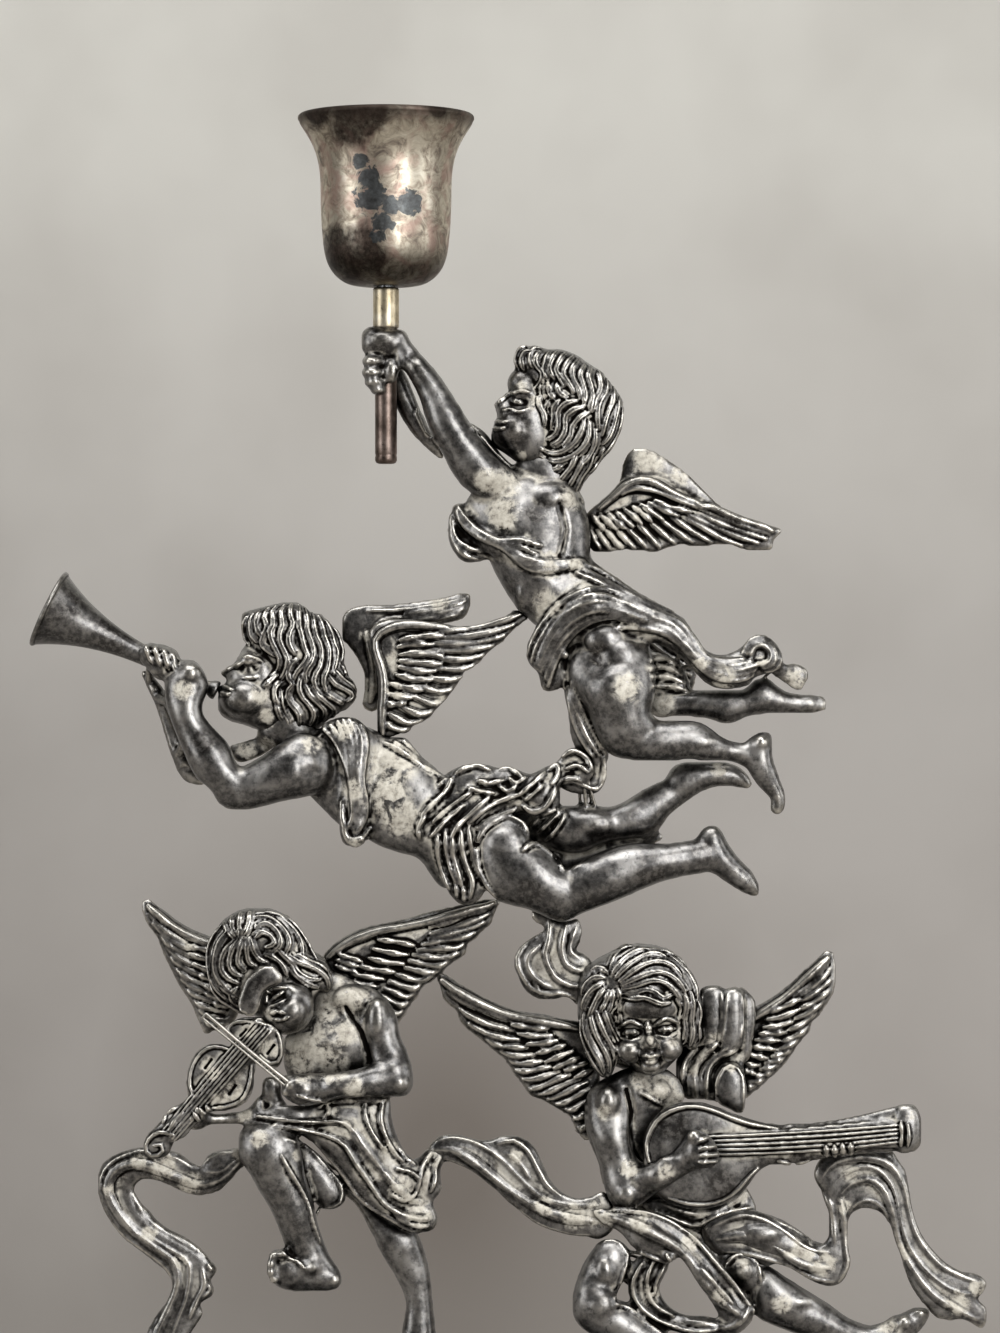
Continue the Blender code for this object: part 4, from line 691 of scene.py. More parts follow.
FOLDS["torch_head"] = [
    ("""518,368 516,358 520,350 527,347; 523,370 521,360 525,353 531,352; 532,368 530,358 534,350 541,349;
    540,352 535,360 537,368 542,374 541,382 536,388; 549,353 545,362 544,371 548,380; 557,352 551,362
    549,371 553,379; 566,353 560,361 556,370 559,378 564,387; 574,356 566,366 563,375 568,384 573,393;
    579,360 572,370 573,380 578,390 580,400; 585,365 580,376 583,386 585,397 583,406; 591,368 588,378
    591,388 592,398 589,410; 598,371 600,381 600,391 595,400 592,412; 606,379 606,391 600,402 597,414
    598,430; 613,387 613,400 608,413 604,425 602,436; 619,397 617,410 614,423 610,435 603,445; 622,408
    620,422 616,436 609,447 600,458; 541,384 541,394 544,402; 548,385 549,394 554,400; 556,386 559,394
    566,399; 538,398 540,408 544,416 545,426; 549,402 546,410 549,420; 558,402 553,410 553,420 551,430;
    577,402 565,405 558,413 558,424 556,434 548,440; 584,408 573,411 565,418 565,430 560,441 551,446;
    588,414 579,419 572,428 570,438 563,447; 584,420 581,432 574,444 563,452 552,454 542,450; 589,424
    588,438 581,450 568,459 554,462 541,457; 595,432 594,446 588,458 580,466; 576,456 571,467 563,477
    556,485; 584,458 578,471 571,483 565,491; 593,456 588,468 580,480 573,495; 562,466 553,470 545,468;
    557,474 549,478 546,483; 603,450 598,461 590,472""", 0, 2.7, 0.3),
    ("""511,393,0,2.4 504,399,0,3 498,404,0,3; 529,393,0,1.8 520,392,0,2.2 511,395,0,2; 513,402,0,2
    518,403,0,2.8 522,404,0,2; 503,411,0,1.6 511,410,0,1.6 519,413,0,1.6 527,410,0,1.4; 495,422,0,2
    501,423,0,2 507,423,0,1.5; 493,429,0,2.2 499,430,0,2.2 505,429,0,1.5""", 0, 2, 0.1, (1, -1)),
]
KNOBS["torch_head"] = "514,430,6,21,21,22 524,384,0,17,17,15 517,444,4,18,12,18 499,405,2,4.5,4,7"
CREAM["torch_head"] = "534,404,7 522,388,6 520,458,7 545,385,5 514,430,-22 518,376,-9"
HOLLOWS["torch_head"] = [("511,403 524,403", 1.8, 1.3)]
FORMS["trumpet_head"] = [
    ("""243,614 262,608 290,602 302,606 312,614 322,616 340,640 345,670 356,690 350,706 330,716 318,728
    302,732 290,736 280,725 275,700 276,680 270,668 256,655 246,640 242,625""", 2, 0.8, 44),
    ("""244,648 236,662 225,672 228,680 221,692 218,705 226,718 250,726 268,732 288,722 290,690 280,665
    266,650 252,642""", 2, 1.1, 36),
]
FOLDS["trumpet_head"] = [
    ("""247,617 244,626 245,636 249,644; 254,614 251,624 252,634 257,642; 261,611 257,620 258,629 262,636;
    269,608 265,617 268,626 264,636 262,644 268,650 275,656; 277,606 272,614 275,622 271,630 272,640 277,650
    281,660 279,670 273,676; 285,605 281,614 284,622 281,632 281,642 286,652 289,662 286,672 281,680;
    292,604 291,614 294,624 290,634 290,644 295,653; 299,605 300,616 300,626 303,636 305,646 309,655 305,664
    299,670 295,679; 305,608 308,619 308,630 312,640 315,651 312,662 306,671 307,681; 312,613 315,624
    316,634 321,644 323,655 321,666 316,675 315,685 322,694; 319,616 323,626 325,637 330,648 330,659 328,670
    324,680 327,690; 326,621 331,631 334,642 338,652 336,663 334,673; 333,627 339,638 342,649 342,660;
    297,660 290,667 289,677 294,684 288,692 290,702 297,710 301,719 298,729; 302,676 300,688 304,698 311,706
    315,715 311,725; 307,686 312,696 320,704 326,712 323,721; 314,688 321,697 329,704 335,711 331,719;
    279,672 272,680 266,685; 284,680 277,686 276,696 279,706; 282,690 282,701 285,712 290,722 291,733;
    277,702 280,714 285,725 288,735; 330,676 336,684 345,689 353,695 348,701; 336,670 342,678 351,685
    357,692; 327,694 335,699 343,704; 342,666 346,675""", 0, 2.7, 0.3),
    ("""243,663,0,2.6 234,667,0,3 226,671,0,3; 244,657,0,1.8 254,657,0,2.2 264,662,0,1.6; 244,677,0,1.2
    252,678,0,1.3 259,676,0,1.2; 222,686,0,2.2 228,687,0,2 234,690,0,1.6; 221,693,0,2.4 227,694,0,2.2
    232,694,0,1.6""", 0, 2, 0.1, (1, -1)),
]
KNOBS["trumpet_head"] = "246,698,8,26,22,27 250,664,10,14,14,18 225,673,2,4.5,4,6 222,690,1,5,5,7"
CREAM["trumpet_head"] = "264,694,11 268,716,8 258,652,8 236,700,-14 250,668,-8"
HOLLOWS["trumpet_head"] = [("244,668 255,667", 1.4, 0.8)]
FORMS["violin_head"] = [
    ("""236,914 248,910 262,909 276,912 292,922 303,936 310,952 322,966 328,980 316,996 313,1014 305,1024
    292,1030 279,1029 266,1020 250,1012 232,1004 219,993 212,976 210,958 215,940 224,925""", 10, 0.9, 26),
    ("""236,912 248,908 262,907 276,910 292,920 304,934 312,950 325,962 333,978 330,990 320,990 305,984
    292,975 280,966 266,958 255,968 248,978 240,986 240,1000 246,1013 232,1006 218,995 210,978 207,960
    212,940 222,923""", 14, 1, 40),
    ("""264,992 272,984 283,980 297,982 309,988 315,1000 313,1014 305,1025 292,1031 279,1030 269,1022
    263,1012 264,1002""", 32, 1, 24),
    ("""243,990 249,977 260,967 271,962 280,966 286,977 278,983 269,987 264,996 261,1006 254,1014 245,1010
    240,1001""", 47, 0.42, 6),
]
FOLDS["violin_head"] = [
    ("""223,924 215,935 210,947 209,960 211,973 216,985 226,996; 229,929 221,940 217,953 216,966 220,977
    229,988 239,996; 238,937 228,947 223,959 224,969 231,977 240,981; 241,936 234,948 231,961 235,970
    243,974; 244,937 241,950 240,961 246,968; 248,937 249,950 251,960 257,964; 252,936 255,948 261,957
    268,960; 242,911 241,922 242,934; 233,915 234,925 239,935; 251,910 250,921 245,933; 225,920 230,929
    237,936; 258,935 264,930 272,933 276,941 268,945; 258,925 267,921 275,925 281,933 282,943 275,950;
    258,915 270,916 280,922 288,931 291,942 287,951; 267,911 279,914 290,922 298,932 303,943 304,952;
    278,913 290,919 300,929 307,940 312,950 317,957; 267,952 276,956 284,963 288,973; 279,947 287,955
    294,962 301,971 311,977 321,978; 292,954 300,960 310,964 320,969 328,977 330,987; 300,953 310,959
    320,963 329,971; 292,966 299,975 309,982 319,986; 216,992 226,1001 238,1008 247,1013; 211,982 219,995
    230,1003; 222,984 232,992 240,994; 238,986 232,994 236,1002""", 0, 2.7, 0.3),
    ("""268,999,0,1.8 270,989,0,1.8 278,985,0,1.8 288,985,0,1.4; 273,997,0,1.8 279,993,0,2.6 285,989,0,1.8;
    271,1003,0,1.3 279,1001,0,1.5 288,996,0,1.2; 272,1010,0,2.4 279,1008,0,2.4 287,1009,0,1.6; 276,1016,0,2
    284,1016,0,2.2 291,1013,0,1.6""", 0, 2, 0.1, (1,)),
    ("250,940 246,975 250,1010; 270,935 270,980 276,1026; 292,940 296,985 300,1022", 12, 3, 0.3, (-1,)),
]
KNOBS["violin_head"] = "294,1008,34,18,19,20"
CREAM["violin_head"] = "272,1012,7 258,988,-22 240,930,-14"
HOLLOWS["violin_head"] = [("274,994 284,991", 2, 1.4)]
FORMS["lute_head"] = [
    ("""585,975 600,958 630,946 655,946 684,965 698,990 697,1028 684,1048 665,1066 640,1071 615,1066
    592,1050 581,1020""", -6, 0.68, 40),
    ("""617,1000 640,997 662,999 682,1004 685,1025 682,1045 673,1060 662,1070 650,1074 638,1070 626,1060
    618,1045 614,1025""", 12, 0.95, 31),
    ("""578,985 584,968 596,960 610,953 630,945 650,944 668,950 684,964 694,980 700,1000 700,1022 697,1046
    690,1049 684,1040 682,1018 674,1004 660,1004 642,1001 625,997 617,1006 614,1020 617,1040 617,1056
    610,1074 602,1076 592,1064 584,1048 580,1026 577,1005""", 15, 1.15, 26),
]
FOLDS["lute_head"] = [
    ("""608,989 605,999 600,1008; 604,985 597,994 592,1004 588,1014; 602,981 592,986 585,995 581,1006;
    603,975 593,975 585,982 581,992; 606,970 599,965 591,968; 583,1012 583,1024 587,1037 593,1049 600,1060
    603,1070; 589,1010 592,1023 597,1036 604,1048 609,1060 609,1070; 596,1010 600,1022 605,1033 611,1043
    615,1054 614,1064; 603,1008 607,1019 612,1030 617,1040; 580,1018 582,1034 587,1048 594,1061 602,1073;
    612,989 611,999 608,1009; 617,988 619,997 614,1006; 610,964 615,955 622,948 631,945; 612,970 618,962
    626,954 636,949 646,947; 615,975 622,967 632,959 643,953 655,951 664,954; 618,979 627,972 637,965
    649,960 661,959 672,964 680,973; 621,982 632,977 644,972 656,969 668,972 677,979 684,989; 622,986
    634,983 646,979 657,978 667,982 675,990 680,1000; 622,990 633,990 644,987 653,989 662,995 671,992;
    621,994 632,996 643,995 652,998 660,1001 669,1000; 668,953 679,962 688,973 694,985 696,996; 662,949
    674,955 685,965; 684,992 686,1004 684,1016 685,1029 683,1041; 690,990 692,1004 691,1018 692,1032
    689,1044; 697,1000 699,1013 697,1026 698,1040; 676,996 681,1006 679,1016; 618,998 616,1010
    617,1020""", 0, 2.7, 0.3),
    ("""647,1021,0,3.4 648,1030,0,4 649,1038,0,4.8; 618,1026,0,1.4 629,1019,0,2 641,1024,0,1.6;
    623,1032,0,2.6 630,1030,0,3.8 637,1031,0,2.6; 620,1036,0,1.3 630,1038,0,1.6 639,1035,0,1.3;
    654,1023,0,1.6 665,1016,0,2 677,1021,0,1.4; 659,1028,0,2.6 666,1027,0,3.8 673,1027,0,2.6; 656,1033,0,1.3
    666,1035,0,1.6 676,1030,0,1.3; 639,1053,0,1.2 645,1051.5,0,1.8 649,1053,0,1.5 654,1051,0,1.8
    660,1052.5,0,1.2; 643,1058,0,1.3 649,1059,0,2.1 656,1057,0,1.3""", 0, 2, 0.1, (1,)),
    ("""610,960 600,1010 608,1062; 640,950 634,1010 636,1068; 668,955 666,1010 660,1064; 690,985 692,1015
    680,1045""", 16, 3, 0.3, (-1,)),
]
KNOBS["lute_head"] = """649,1003,16,34,21,23 630,1048,26,14,13,14 668,1046,25,14,13,14 649,1063,34,11,8,11
    649,1051,40,10,7,10 649,1039,49,7.5,6,8 642,1043,46,3.4,3,4 656,1042,46,3.4,3,4"""
# The dark mark at 648,1009 is painted shadow of the hair across the forehead.
CREAM["lute_head"] = "648,1034,6 674,1036,9 650,1056,5 648,1009,-16 628,1050,-9"
HOLLOWS["lute_head"] = [("622,1031 638,1030", 1.7, 1.2), ("657,1028 674,1026", 1.7, 1.1)]
FORMS["torch_body"] = [
    ("""402,331 412,345 425,360 440,378 452,396 461,411 472,428 486,446 502,462 522,480 528,504 512,522
    494,512 478,498 463,486 451,470 442,452 432,434 425,414 418,393 408,375 398,362
    394,346""", "402,345,10 420,375,20 450,430,25 480,470,24 515,500,12", 0.95),
    ("""388,364 400,366 408,380 417,402 428,428 442,446 444,460 432,452 415,436 402,417 393,398
    387,380""", -12, 0.9),
    ("466,421 482,430 492,441 504,458 522,474 514,484 496,471 482,454 470,438", -4, 0.9),
    ("364,331 375,326 392,329 404,331 409,340 406,352 394,358 376,356 365,353 361,342", 4, 1.15),
    ("522,456 545,448 566,462 576,486 584,506 556,510 530,492 514,474", 2, 0.9),
    ("""500,478 520,474 545,478 570,494 584,508 590,530 590,556 604,574 626,592 632,628 600,650 560,650
    544,632 528,618 512,600 498,577 488,556 476,530 466,506
    478,488""", "500,500,10 540,520,6 560,560,4 540,590,10 590,620,8", 0.72),
    ("""453,507 461,503 474,514 490,524 502,536 520,540 538,543 548,552 560,562 586,560 588,568 560,572
    542,576 528,577 512,567 498,557 484,551 474,540 460,528
    452,518""", "460,515,14 500,545,26 540,562,30 580,564,22", 0.8),
    ("""451,512 458,528 470,542 484,551 488,558 478,562 464,562 453,550 448,535
    448,520""", "455,530,10 470,553,16", 1),
    ("""528,642 540,621 556,604 574,588 590,574 594,562 608,574 628,590 652,604 664,622 640,630 618,624
    600,622 582,634 568,648 562,664 564,682 554,691 542,690 538,672 529,664
    526,652""", "535,655,18 550,620,24 590,600,34 640,615,26 552,684,18 600,575,8", 0.62),
    ("""632,596 656,606 682,618 695,638 708,652 724,655 740,648 748,640 760,636 772,643 780,656 782,668
    770,672 752,678 748,685 724,689 704,682 688,664 668,648 642,640 612,638
    610,624""", "630,615,22 680,640,18 720,670,14 765,655,12", 0.6),
    ("""772,662 784,664 794,663 803,666 809,674 806,682 800,691 792,688 782,681
    772,674""", "775,668,8 800,678,2", 0.5),
    ("""566,652 574,644 590,636 618,630 644,640 652,662 654,690 650,712 660,726 654,750 630,758 609,753
    598,736 588,712 576,692 566,676""", "592,650,10 615,690,26 630,735,26", 0.86),
    ("""606,742 622,728 650,722 680,720 702,724 722,738 742,743 756,742 764,756 752,768 732,761 700,759
    660,759 626,758""", "630,740,27 700,742,24 750,752,20", 0.95),
    ("""742,746 752,736 764,731 771,738 771,756 777,775 784,794 784,806 776,814 769,808 770,798 758,786
    748,770 744,758""", "760,745,20 776,800,18", 0.9),
    ("""650,700 670,693 700,691 728,691 744,690 756,680 768,678 776,685 786,692 804,695 818,697 822,710
    804,713 775,713 748,716 728,724 708,718 680,716
    655,716""", "660,705,-10 720,704,-8 770,692,-8 815,704,-10", 0.9),
    ("646,652 664,654 680,664 690,680 688,694 660,696 646,684", -8, 0.4),
    ("""564,688 573,677 584,700 597,728 609,752 606,764 605,780 598,792 584,795 568,791 557,785 570,777
    584,780 590,768 578,752 571,735 568,712""", "570,690,14 590,740,6 596,775,4 565,784,4", 0.8),
]
FOLDS["torch_body"] = [
    ("""527,656 533,638 546,619 563,602 584,591 604,589 626,599 650,611 676,622 694,640; 535,668 541,650
    552,630 568,612 590,602 612,604 634,612 656,621 676,632; 541,672 548,656 558,636 574,620 594,611 612,613
    632,620 652,628; 548,686 554,666 563,648 577,631 595,620 612,618 630,624""", 7, 3, 0.35),
    ("580,563 600,571 625,588 650,603 680,616; 576,573 600,583 626,597 652,612", 3, 2.7, 0.35),
    ("""616,627 648,629 668,636 684,650 698,666 716,678 740,680 752,675; 640,621 664,628 682,642 696,656
    712,668 736,670 757,664; 650,610 676,620 692,638 704,656 722,661 742,659""", 5, 3.6, 0.35),
    ("""459,507 465,518 478,531 500,541 520,541 540,546; 456,512 463,526 480,540 502,549 516,560
    532,573""", 4, 2.5, 0.35),
    ("505,551 520,558 540,562 560,563 584,561; 514,562 532,571 552,571 570,568 588,566", 3, 2.8, 0.35),
    ("451,516 454,534 464,546 480,552; 449,530 456,546 466,556 478,560", 2, 3, 0.35),
    ("""742,652 748,642 760,637 772,643 779,656 776,668 764,672; 750,655 753,647 762,645 769,652 768,661
    759,664""", 3, 3, 0.35),
    ("570,682 580,706 592,732 606,754; 566,692 572,716 580,738 592,756", 3, 2.7, 0.35),
    ("558,785 572,780 588,787 599,788 604,774 604,758", 0, 3, 0.35),
    ("418,408 428,430 440,448; 404,388 412,410 424,432", 1, 2.4, 0.35),
    ("470,428 482,438 496,454 512,468", 0, 2.4, 0.35),
    ("650,660 664,658 676,664; 650,672 668,672 684,680; 652,686 668,686 686,690", 4, 3, 0.35),
]
KNOBS["torch_body"] = """373,362,8,11.5,6.5,15 373,373,9,12,6,15 375,383,9,11,6,14 379,391,8,9,5,13
    392,372,12,7,13,8 565,655,30,4.5,5,5 384,340,15,14,9,6 820,698,-10,7,2.6,4 822,703,-9,7,2.4,4
    822,709,-9,6.5,2.6,4 776,809,18,6,6,6 620,660,30,24,22,16 604,640,26,22,18,16 690,742,30,30,12,12
    452,420,28,12,18,10 760,742,26,8,8,8 548,500,12,30,20,22 525,590,14,14,24,20"""
# The cream mark at 626,688 is a painted highlight, the sheen on the thigh.
CREAM["torch_body"] = """505,486,15 486,482,12 504,514,18 574,496,14 548,604,15 536,512,-14 560,530,-12
    512,600,-12 660,666,15 664,690,13 662,704,9 795,678,12 630,632,9 698,664,10 722,678,12 548,570,10
    626,688,15 600,772,8 575,566,8 760,660,6 600,655,-14 410,380,-20 382,342,-16 662,668,15 668,688,11
    664,708,13"""
CUTS["torch_body"] = [("560,505 566,530 560,555", 0.9, 0.35)]
FORMS["trumpet_body"] = [
    ("""178,664 190,659 201,666 209,682 207,694 203,704 205,716 216,730 230,745 240,766 262,772 262,800
    238,809 222,803 212,788 198,776 186,752 176,728 168,704
    166,684""", "185,680,18 190,720,22 215,765,26 240,790,26", 0.92),
    ("""226,770 240,768 262,757 284,742 304,733 320,738 332,752 334,772 326,788 310,795 284,800 256,807
    236,809 222,800 218,784""", "240,785,26 290,768,28 320,762,22", 0.85),
    ("""146,644 160,644 176,650 180,658 178,668 170,678 160,680 148,668 140,658
    140,650""", "150,655,10 172,668,12", 0.95),
    ("""140,670 152,676 160,690 166,710 174,732 184,756 198,774 206,784 190,784 180,776 170,754 162,728
    155,706 148,688""", -12, 1),
    ("228,744 240,742 258,736 272,736 274,748 258,758 240,764 232,758", -4, 0.35),
    ("258,712 276,690 300,690 316,730 312,752 290,752 270,745 256,734 262,724", 2, 0.75),
    ("""300,734 320,728 340,728 356,724 384,736 392,760 388,800 372,838 340,824 322,806 308,790 318,770
    330,756 316,742""", "340,760,10 360,800,14 325,795,10", 0.6),
    ("""320,728 332,720 350,716 364,724 374,736 372,760 370,790 368,814 366,836 356,845 344,843 340,826
    342,800 344,780 338,756 330,742""", "345,730,20 352,780,28 352,830,26", 0.55),
    ("""366,748 384,738 404,738 414,752 428,766 446,776 470,772 490,776 500,800 490,850 470,880 446,888
    434,878 420,858 400,852 374,842 360,826 358,790""", "375,780,8 410,810,12 450,830,14 460,800,8", 0.62),
    ("384,740 404,737 414,748 428,764 444,774 440,780 424,777 402,764 388,752", "395,745,0 430,772,4", 0.7),
    ("""444,776 460,766 480,763 500,768 514,768 530,774 546,766 556,762 564,752 574,746 588,756 592,776
    580,782 566,780 558,786 560,800 552,812 536,816 520,812 500,818 482,828 476,845 480,868 486,884 478,900
    462,904 448,890 440,862 438,836 420,838 418,822 432,806
    446,792""", "440,825,24 470,800,22 500,790,18 540,795,22 575,765,10 465,880,24", 0.5),
    ("""476,838 486,826 506,816 526,824 530,838 546,850 566,868 590,862 604,872 600,900 580,912 560,920
    530,908 500,900 486,884 478,862""", "500,855,22 550,885,26 590,890,24", 0.8),
    ("""556,880 580,862 604,850 632,843 662,843 690,840 704,838 722,848 716,866 700,872 676,876 650,884
    622,896 596,906 572,914 556,912""", "580,888,26 650,862,24 705,855,20", 0.95),
    ("""696,842 698,834 708,825 718,827 726,842 736,856 750,870 758,886 756,896 744,892 730,884 716,874
    704,868 700,854""", "712,840,18 750,885,16", 0.95),
    ("""528,826 548,810 566,806 590,806 616,806 634,796 656,784 676,778 690,784 684,802 668,816 654,834
    630,838 606,842 580,852 560,850 544,842""", "560,830,0 610,824,-2 670,798,-6", 0.75),
    ("""670,772 680,764 700,762 722,762 740,768 752,782 750,789 738,787 720,786 700,792 682,804 664,806
    662,790""", "680,785,-8 740,780,-8", 0.9),
    ("508,808 530,806 556,812 562,830 556,850 540,858 522,846 510,826", -8, 0.5),
    ("540,840 570,846 606,842 640,836 660,833 664,840 640,850 606,858 580,868 560,872 545,862", -8, 0.4),
]
FOLDS["trumpet_body"] = [
    ("""324,729 334,738 342,752 348,770 352,790 354,812 350,826; 338,720 344,734 350,752 352,772 356,792
    358,812; 350,718 356,734 358,752 358,772 362,792 362,814 354,828; 362,724 368,740 366,760 364,780
    367,800 366,820 356,834""", 7, 2.7, 0.35),
    ("342,800 344,822 350,838 362,838 370,828; 343,816 346,834 356,844 368,838", 2, 3, 0.35),
    ("386,742 404,752 424,766 444,777; 404,739 418,756 436,770", 3, 2.7, 0.35),
    ("144,674 155,690 164,708 174,734 186,760 196,776", 0, 6.9, -0.7),
    ("147,645 150,655 154,663; 156,646 159,656 162,665; 165,649 168,659 170,667", 0, 2.8, 0.5),
    ("173,653 176,661 176,669", 0, 2.7, 0.5),
    ("""456,772 466,767 478,765 490,769; 518,795 527,787 536,780 545,771; 478,827 490,819 503,813 515,809;
    438,834 438,852 442,870 449,888; 469,827 471,845 475,861 481,877; 530,827 537,819 547,812 557,808;
    477,848 478,864 485,881 496,896""", 0, 2.7, 0.55),
    ("""478,779 490,782 503,779; 560,785 567,779 577,779 587,786 596,792; 562,756 574,750 586,757 592,768;
    422,814 434,802 446,790 452,777; 420,838 419,826 426,815; 470,822 480,812 492,804 506,798 519,794;
    453,834 453,850 457,866 462,884""", 0, 2.8, 0.55),
    ("""500,768 511,768 521,775; 566,768 578,765 588,772; 432,822 445,810 458,800 470,792; 468,786 480,790
    494,792; 456,884 457,896; 464,886 464,900; 545,841 553,833 560,823 566,813; 500,786 508,790 516,786;
    440,784 447,778""", 0, 2.4, 0.55),
    ("524,800 534,792 543,784; 446,830 446,846 449,862 455,880; 508,776 516,782 526,776", 0, 2.2, 0.55),
    ("""549,768 557,764 558,775 552,783; 430,836 440,826 452,814 464,804; 537,833 546,825 556,815
    564,808""", 0, 2.5, 0.55),
    ("524,806 532,811 543,808 551,798 556,787", 0, 3.4, 0.55),
    ("""452,836 457,826 467,816 478,806 489,797; 462,830 462,846 467,864 473,880 470,897; 478,838 486,826
    505,816 522,822 529,834; 524,848 533,842 549,852 563,868; 570,783 580,790 590,795""", 0, 3, 0.55),
]
KNOBS["trumpet_body"] = """149,651,16,4,8,9 158,653,17,4,8,9 167,656,16,4,8,9 175,660,14,3.6,7,8
    160,670,14,10,6,8 192,674,24,13,12,12 196,690,24,8,9,8 300,762,34,24,16,12 236,792,30,18,12,12
    206,752,28,12,22,8 360,838,28,8,5,6 392,800,22,28,28,12 430,828,26,10,11,8 506,845,30,24,22,14
    590,824,6,30,14,12 712,835,20,9,9,8 600,872,34,34,14,8 690,776,-2,10,8,8 583,770,12,12,12,8
    332,786,16,12,16,10 752,890,16,5,5,4"""
CREAM["trumpet_body"] = """246,752,11 268,745,8 314,742,11 394,762,24 386,792,24 402,816,20 412,750,12
    434,768,9 354,788,11 440,808,11 356,843,7 530,890,-16 700,850,-14 600,832,-16 206,740,-14 480,786,7
    345,730,10 270,722,8 186,690,10 720,770,9 650,872,-18 590,905,-14"""
FORMS["violin_body"] = [
    ("""310,984 330,972 352,980 372,996 386,1020 380,1046 380,1066 340,1078 300,1082 286,1070 284,1040
    298,1026 308,1008""", "320,990,0 330,1050,10 300,1060,8", 0.55),
    ("""338,990 360,984 382,994 396,1014 400,1034 408,1052 413,1070 413,1084 406,1092 388,1094 376,1080
    370,1058 366,1036 354,1014 340,1002""", "355,995,8 385,1040,18 395,1080,28", 0.85),
    ("""286,1072 300,1069 330,1070 358,1066 384,1060 404,1066 411,1082 404,1093 376,1094 344,1094 326,1098
    306,1101 292,1096 284,1086""", "295,1084,50 340,1082,40 395,1078,30", 0.95),
    ("263,1080 272,1073 281,1079 284,1096 296,1112 284,1114 270,1102 264,1090", 28, 0.8),
    ("""190,1112 206,1110 232,1110 250,1106 262,1092 268,1106 300,1112 300,1122 262,1122 230,1121 206,1122
    192,1126""", "196,1118,34 250,1112,28 290,1118,22", 0.9),
    ("""280,1102 300,1102 330,1095 360,1094 389,1097 392,1116 398,1136 406,1152 420,1164 428,1176 424,1192
    432,1204 436,1216 430,1228 414,1232 398,1222 382,1212 366,1204 352,1190 338,1166 322,1146 300,1130
    280,1122 262,1120 258,1110
    270,1106""", "290,1112,36 330,1110,24 360,1130,22 390,1180,18 424,1210,10", 0.55),
    ("""240,1142 244,1126 258,1119 276,1120 294,1129 302,1148 306,1172 314,1198 320,1226 330,1252 341,1270
    336,1284 316,1286 300,1272 290,1250 282,1228 273,1206 261,1186 251,1168
    243,1156""", "264,1135,36 286,1190,32 318,1265,26", 0.88),
    ("""270,1256 276,1245 287,1246 300,1252 320,1256 338,1264 342,1278 334,1286 304,1287 284,1284
    272,1274""", "280,1265,34 330,1275,28", 0.85),
    ("""288,1132 302,1140 318,1152 332,1168 343,1184 346,1197 338,1206 324,1208 314,1198 304,1180 294,1164
    286,1148""", 14, 0.8),
    ("""340,1170 360,1196 376,1212 396,1224 414,1230 424,1252 430,1280 433,1310 436,1340 438,1370 440,1400
    440,1424 426,1436 410,1430 404,1404 402,1370 401,1340 406,1306 398,1282 384,1258 370,1230 356,1206
    340,1190""", "370,1210,-4 420,1300,-10 425,1420,-10", 0.8),
    ("""406,1416 420,1412 438,1418 454,1424 458,1434 446,1440 420,1440
    406,1434""", "415,1428,-10 450,1432,10", 0.8),
    ("188,1108 200,1102 210,1106 212,1118 202,1126 190,1124", 36, 0.9),
    ("306,950 324,958 332,976 328,990 312,992 306,972", 0, 0.7),
    ("""404,1172 412,1160 420,1156 425,1150 433,1146 442,1150 446,1158 441,1166 440,1178 442,1188 435,1197
    431,1204 420,1206 408,1196""", "415,1180,12 435,1160,8 438,1185,10", 0.6),
    ("""388,1196 402,1198 420,1200 432,1204 437,1213 438,1221 433,1228 420,1231 404,1226
    388,1214""", "400,1206,18 430,1218,14", 0.6),
]
FOLDS["violin_body"] = [
    ("""258,1112 290,1116 322,1118 344,1118 354,1126; 398,1165 411,1168 420,1177 418,1189 406,1198 394,1192;
    400,1144 406,1154 416,1162""", 0, 2, 0.45),
    ("""276,1121 300,1125 325,1131 345,1140 357,1154; 316,1140 332,1157 346,1175 356,1191 372,1206 392,1217
    410,1228 422,1230; 285,1150 293,1166 303,1183 311,1200 315,1218 322,1238; 417,1190 421,1176 424,1162
    432,1150; 432,1190 436,1176 436,1164 442,1155""", 0, 2.2, 0.45),
    ("320,1103 336,1097 360,1096 386,1098", 0, 1.7, 0.45),
    ("350,1120 362,1138 380,1162 396,1182 410,1196 420,1200", 0, 4.6, -0.3),
    ("345,1140 358,1160 372,1181 384,1199 398,1209 414,1215 428,1216", 0, 3.2, 0.45),
    ("384,1100 382,1117 388,1135 396,1150 404,1158", 0, 2.4, 0.45),
    ("""366,1102 368,1116 376,1132 386,1146; 289,1133 306,1143 322,1158 336,1174 344,1190 338,1203 324,1206;
    300,1090 330,1098 360,1097 386,1098; 326,1098 330,1106 326,1113""", 0, 1.8, 0.45),
    ("283,1240 286,1247 293,1253 301,1256 307,1263", 0, 1.5, 0.45),
    ("396,1212 412,1222 428,1224", 0, 3, 0.45),
]
KNOBS["violin_body"] = """293,1080,56,7,6,8 289,1087,54,6,5,8 300,1076,56,6,4,7 398,1080,34,14,12,12
    330,1040,16,16,14,14 332,1110,30,12,7,8 262,1136,44,14,14,10 292,1190,40,12,26,10 275,1250,44,5,4.5,6
    273,1258,45,5,4.5,6 273,1266,45,5,4.5,6 276,1274,44,5,4.5,6 284,1248,44,6,5,7 308,1262,40,12,8,8
    335,1276,30,8,9,10 200,1106,46,3,6,5 206,1110,46,3,6,5 194,1114,45,4,5,5 378,1020,24,12,24,12
    352,998,14,20,14,14"""
CREAM["violin_body"] = """322,1002,24 352,992,22 306,1042,26 304,1062,16 334,1062,16 344,1030,16 356,1084,10
    330,1106,9 400,1182,13 412,1200,12 420,1214,12 262,1134,9 390,1146,10 352,1120,8 246,1112,8 300,1150,6
    434,1160,9"""
CUTS["violin_body"] = [("370,1060 362,1030 346,1006", 0.7, 0.6)]
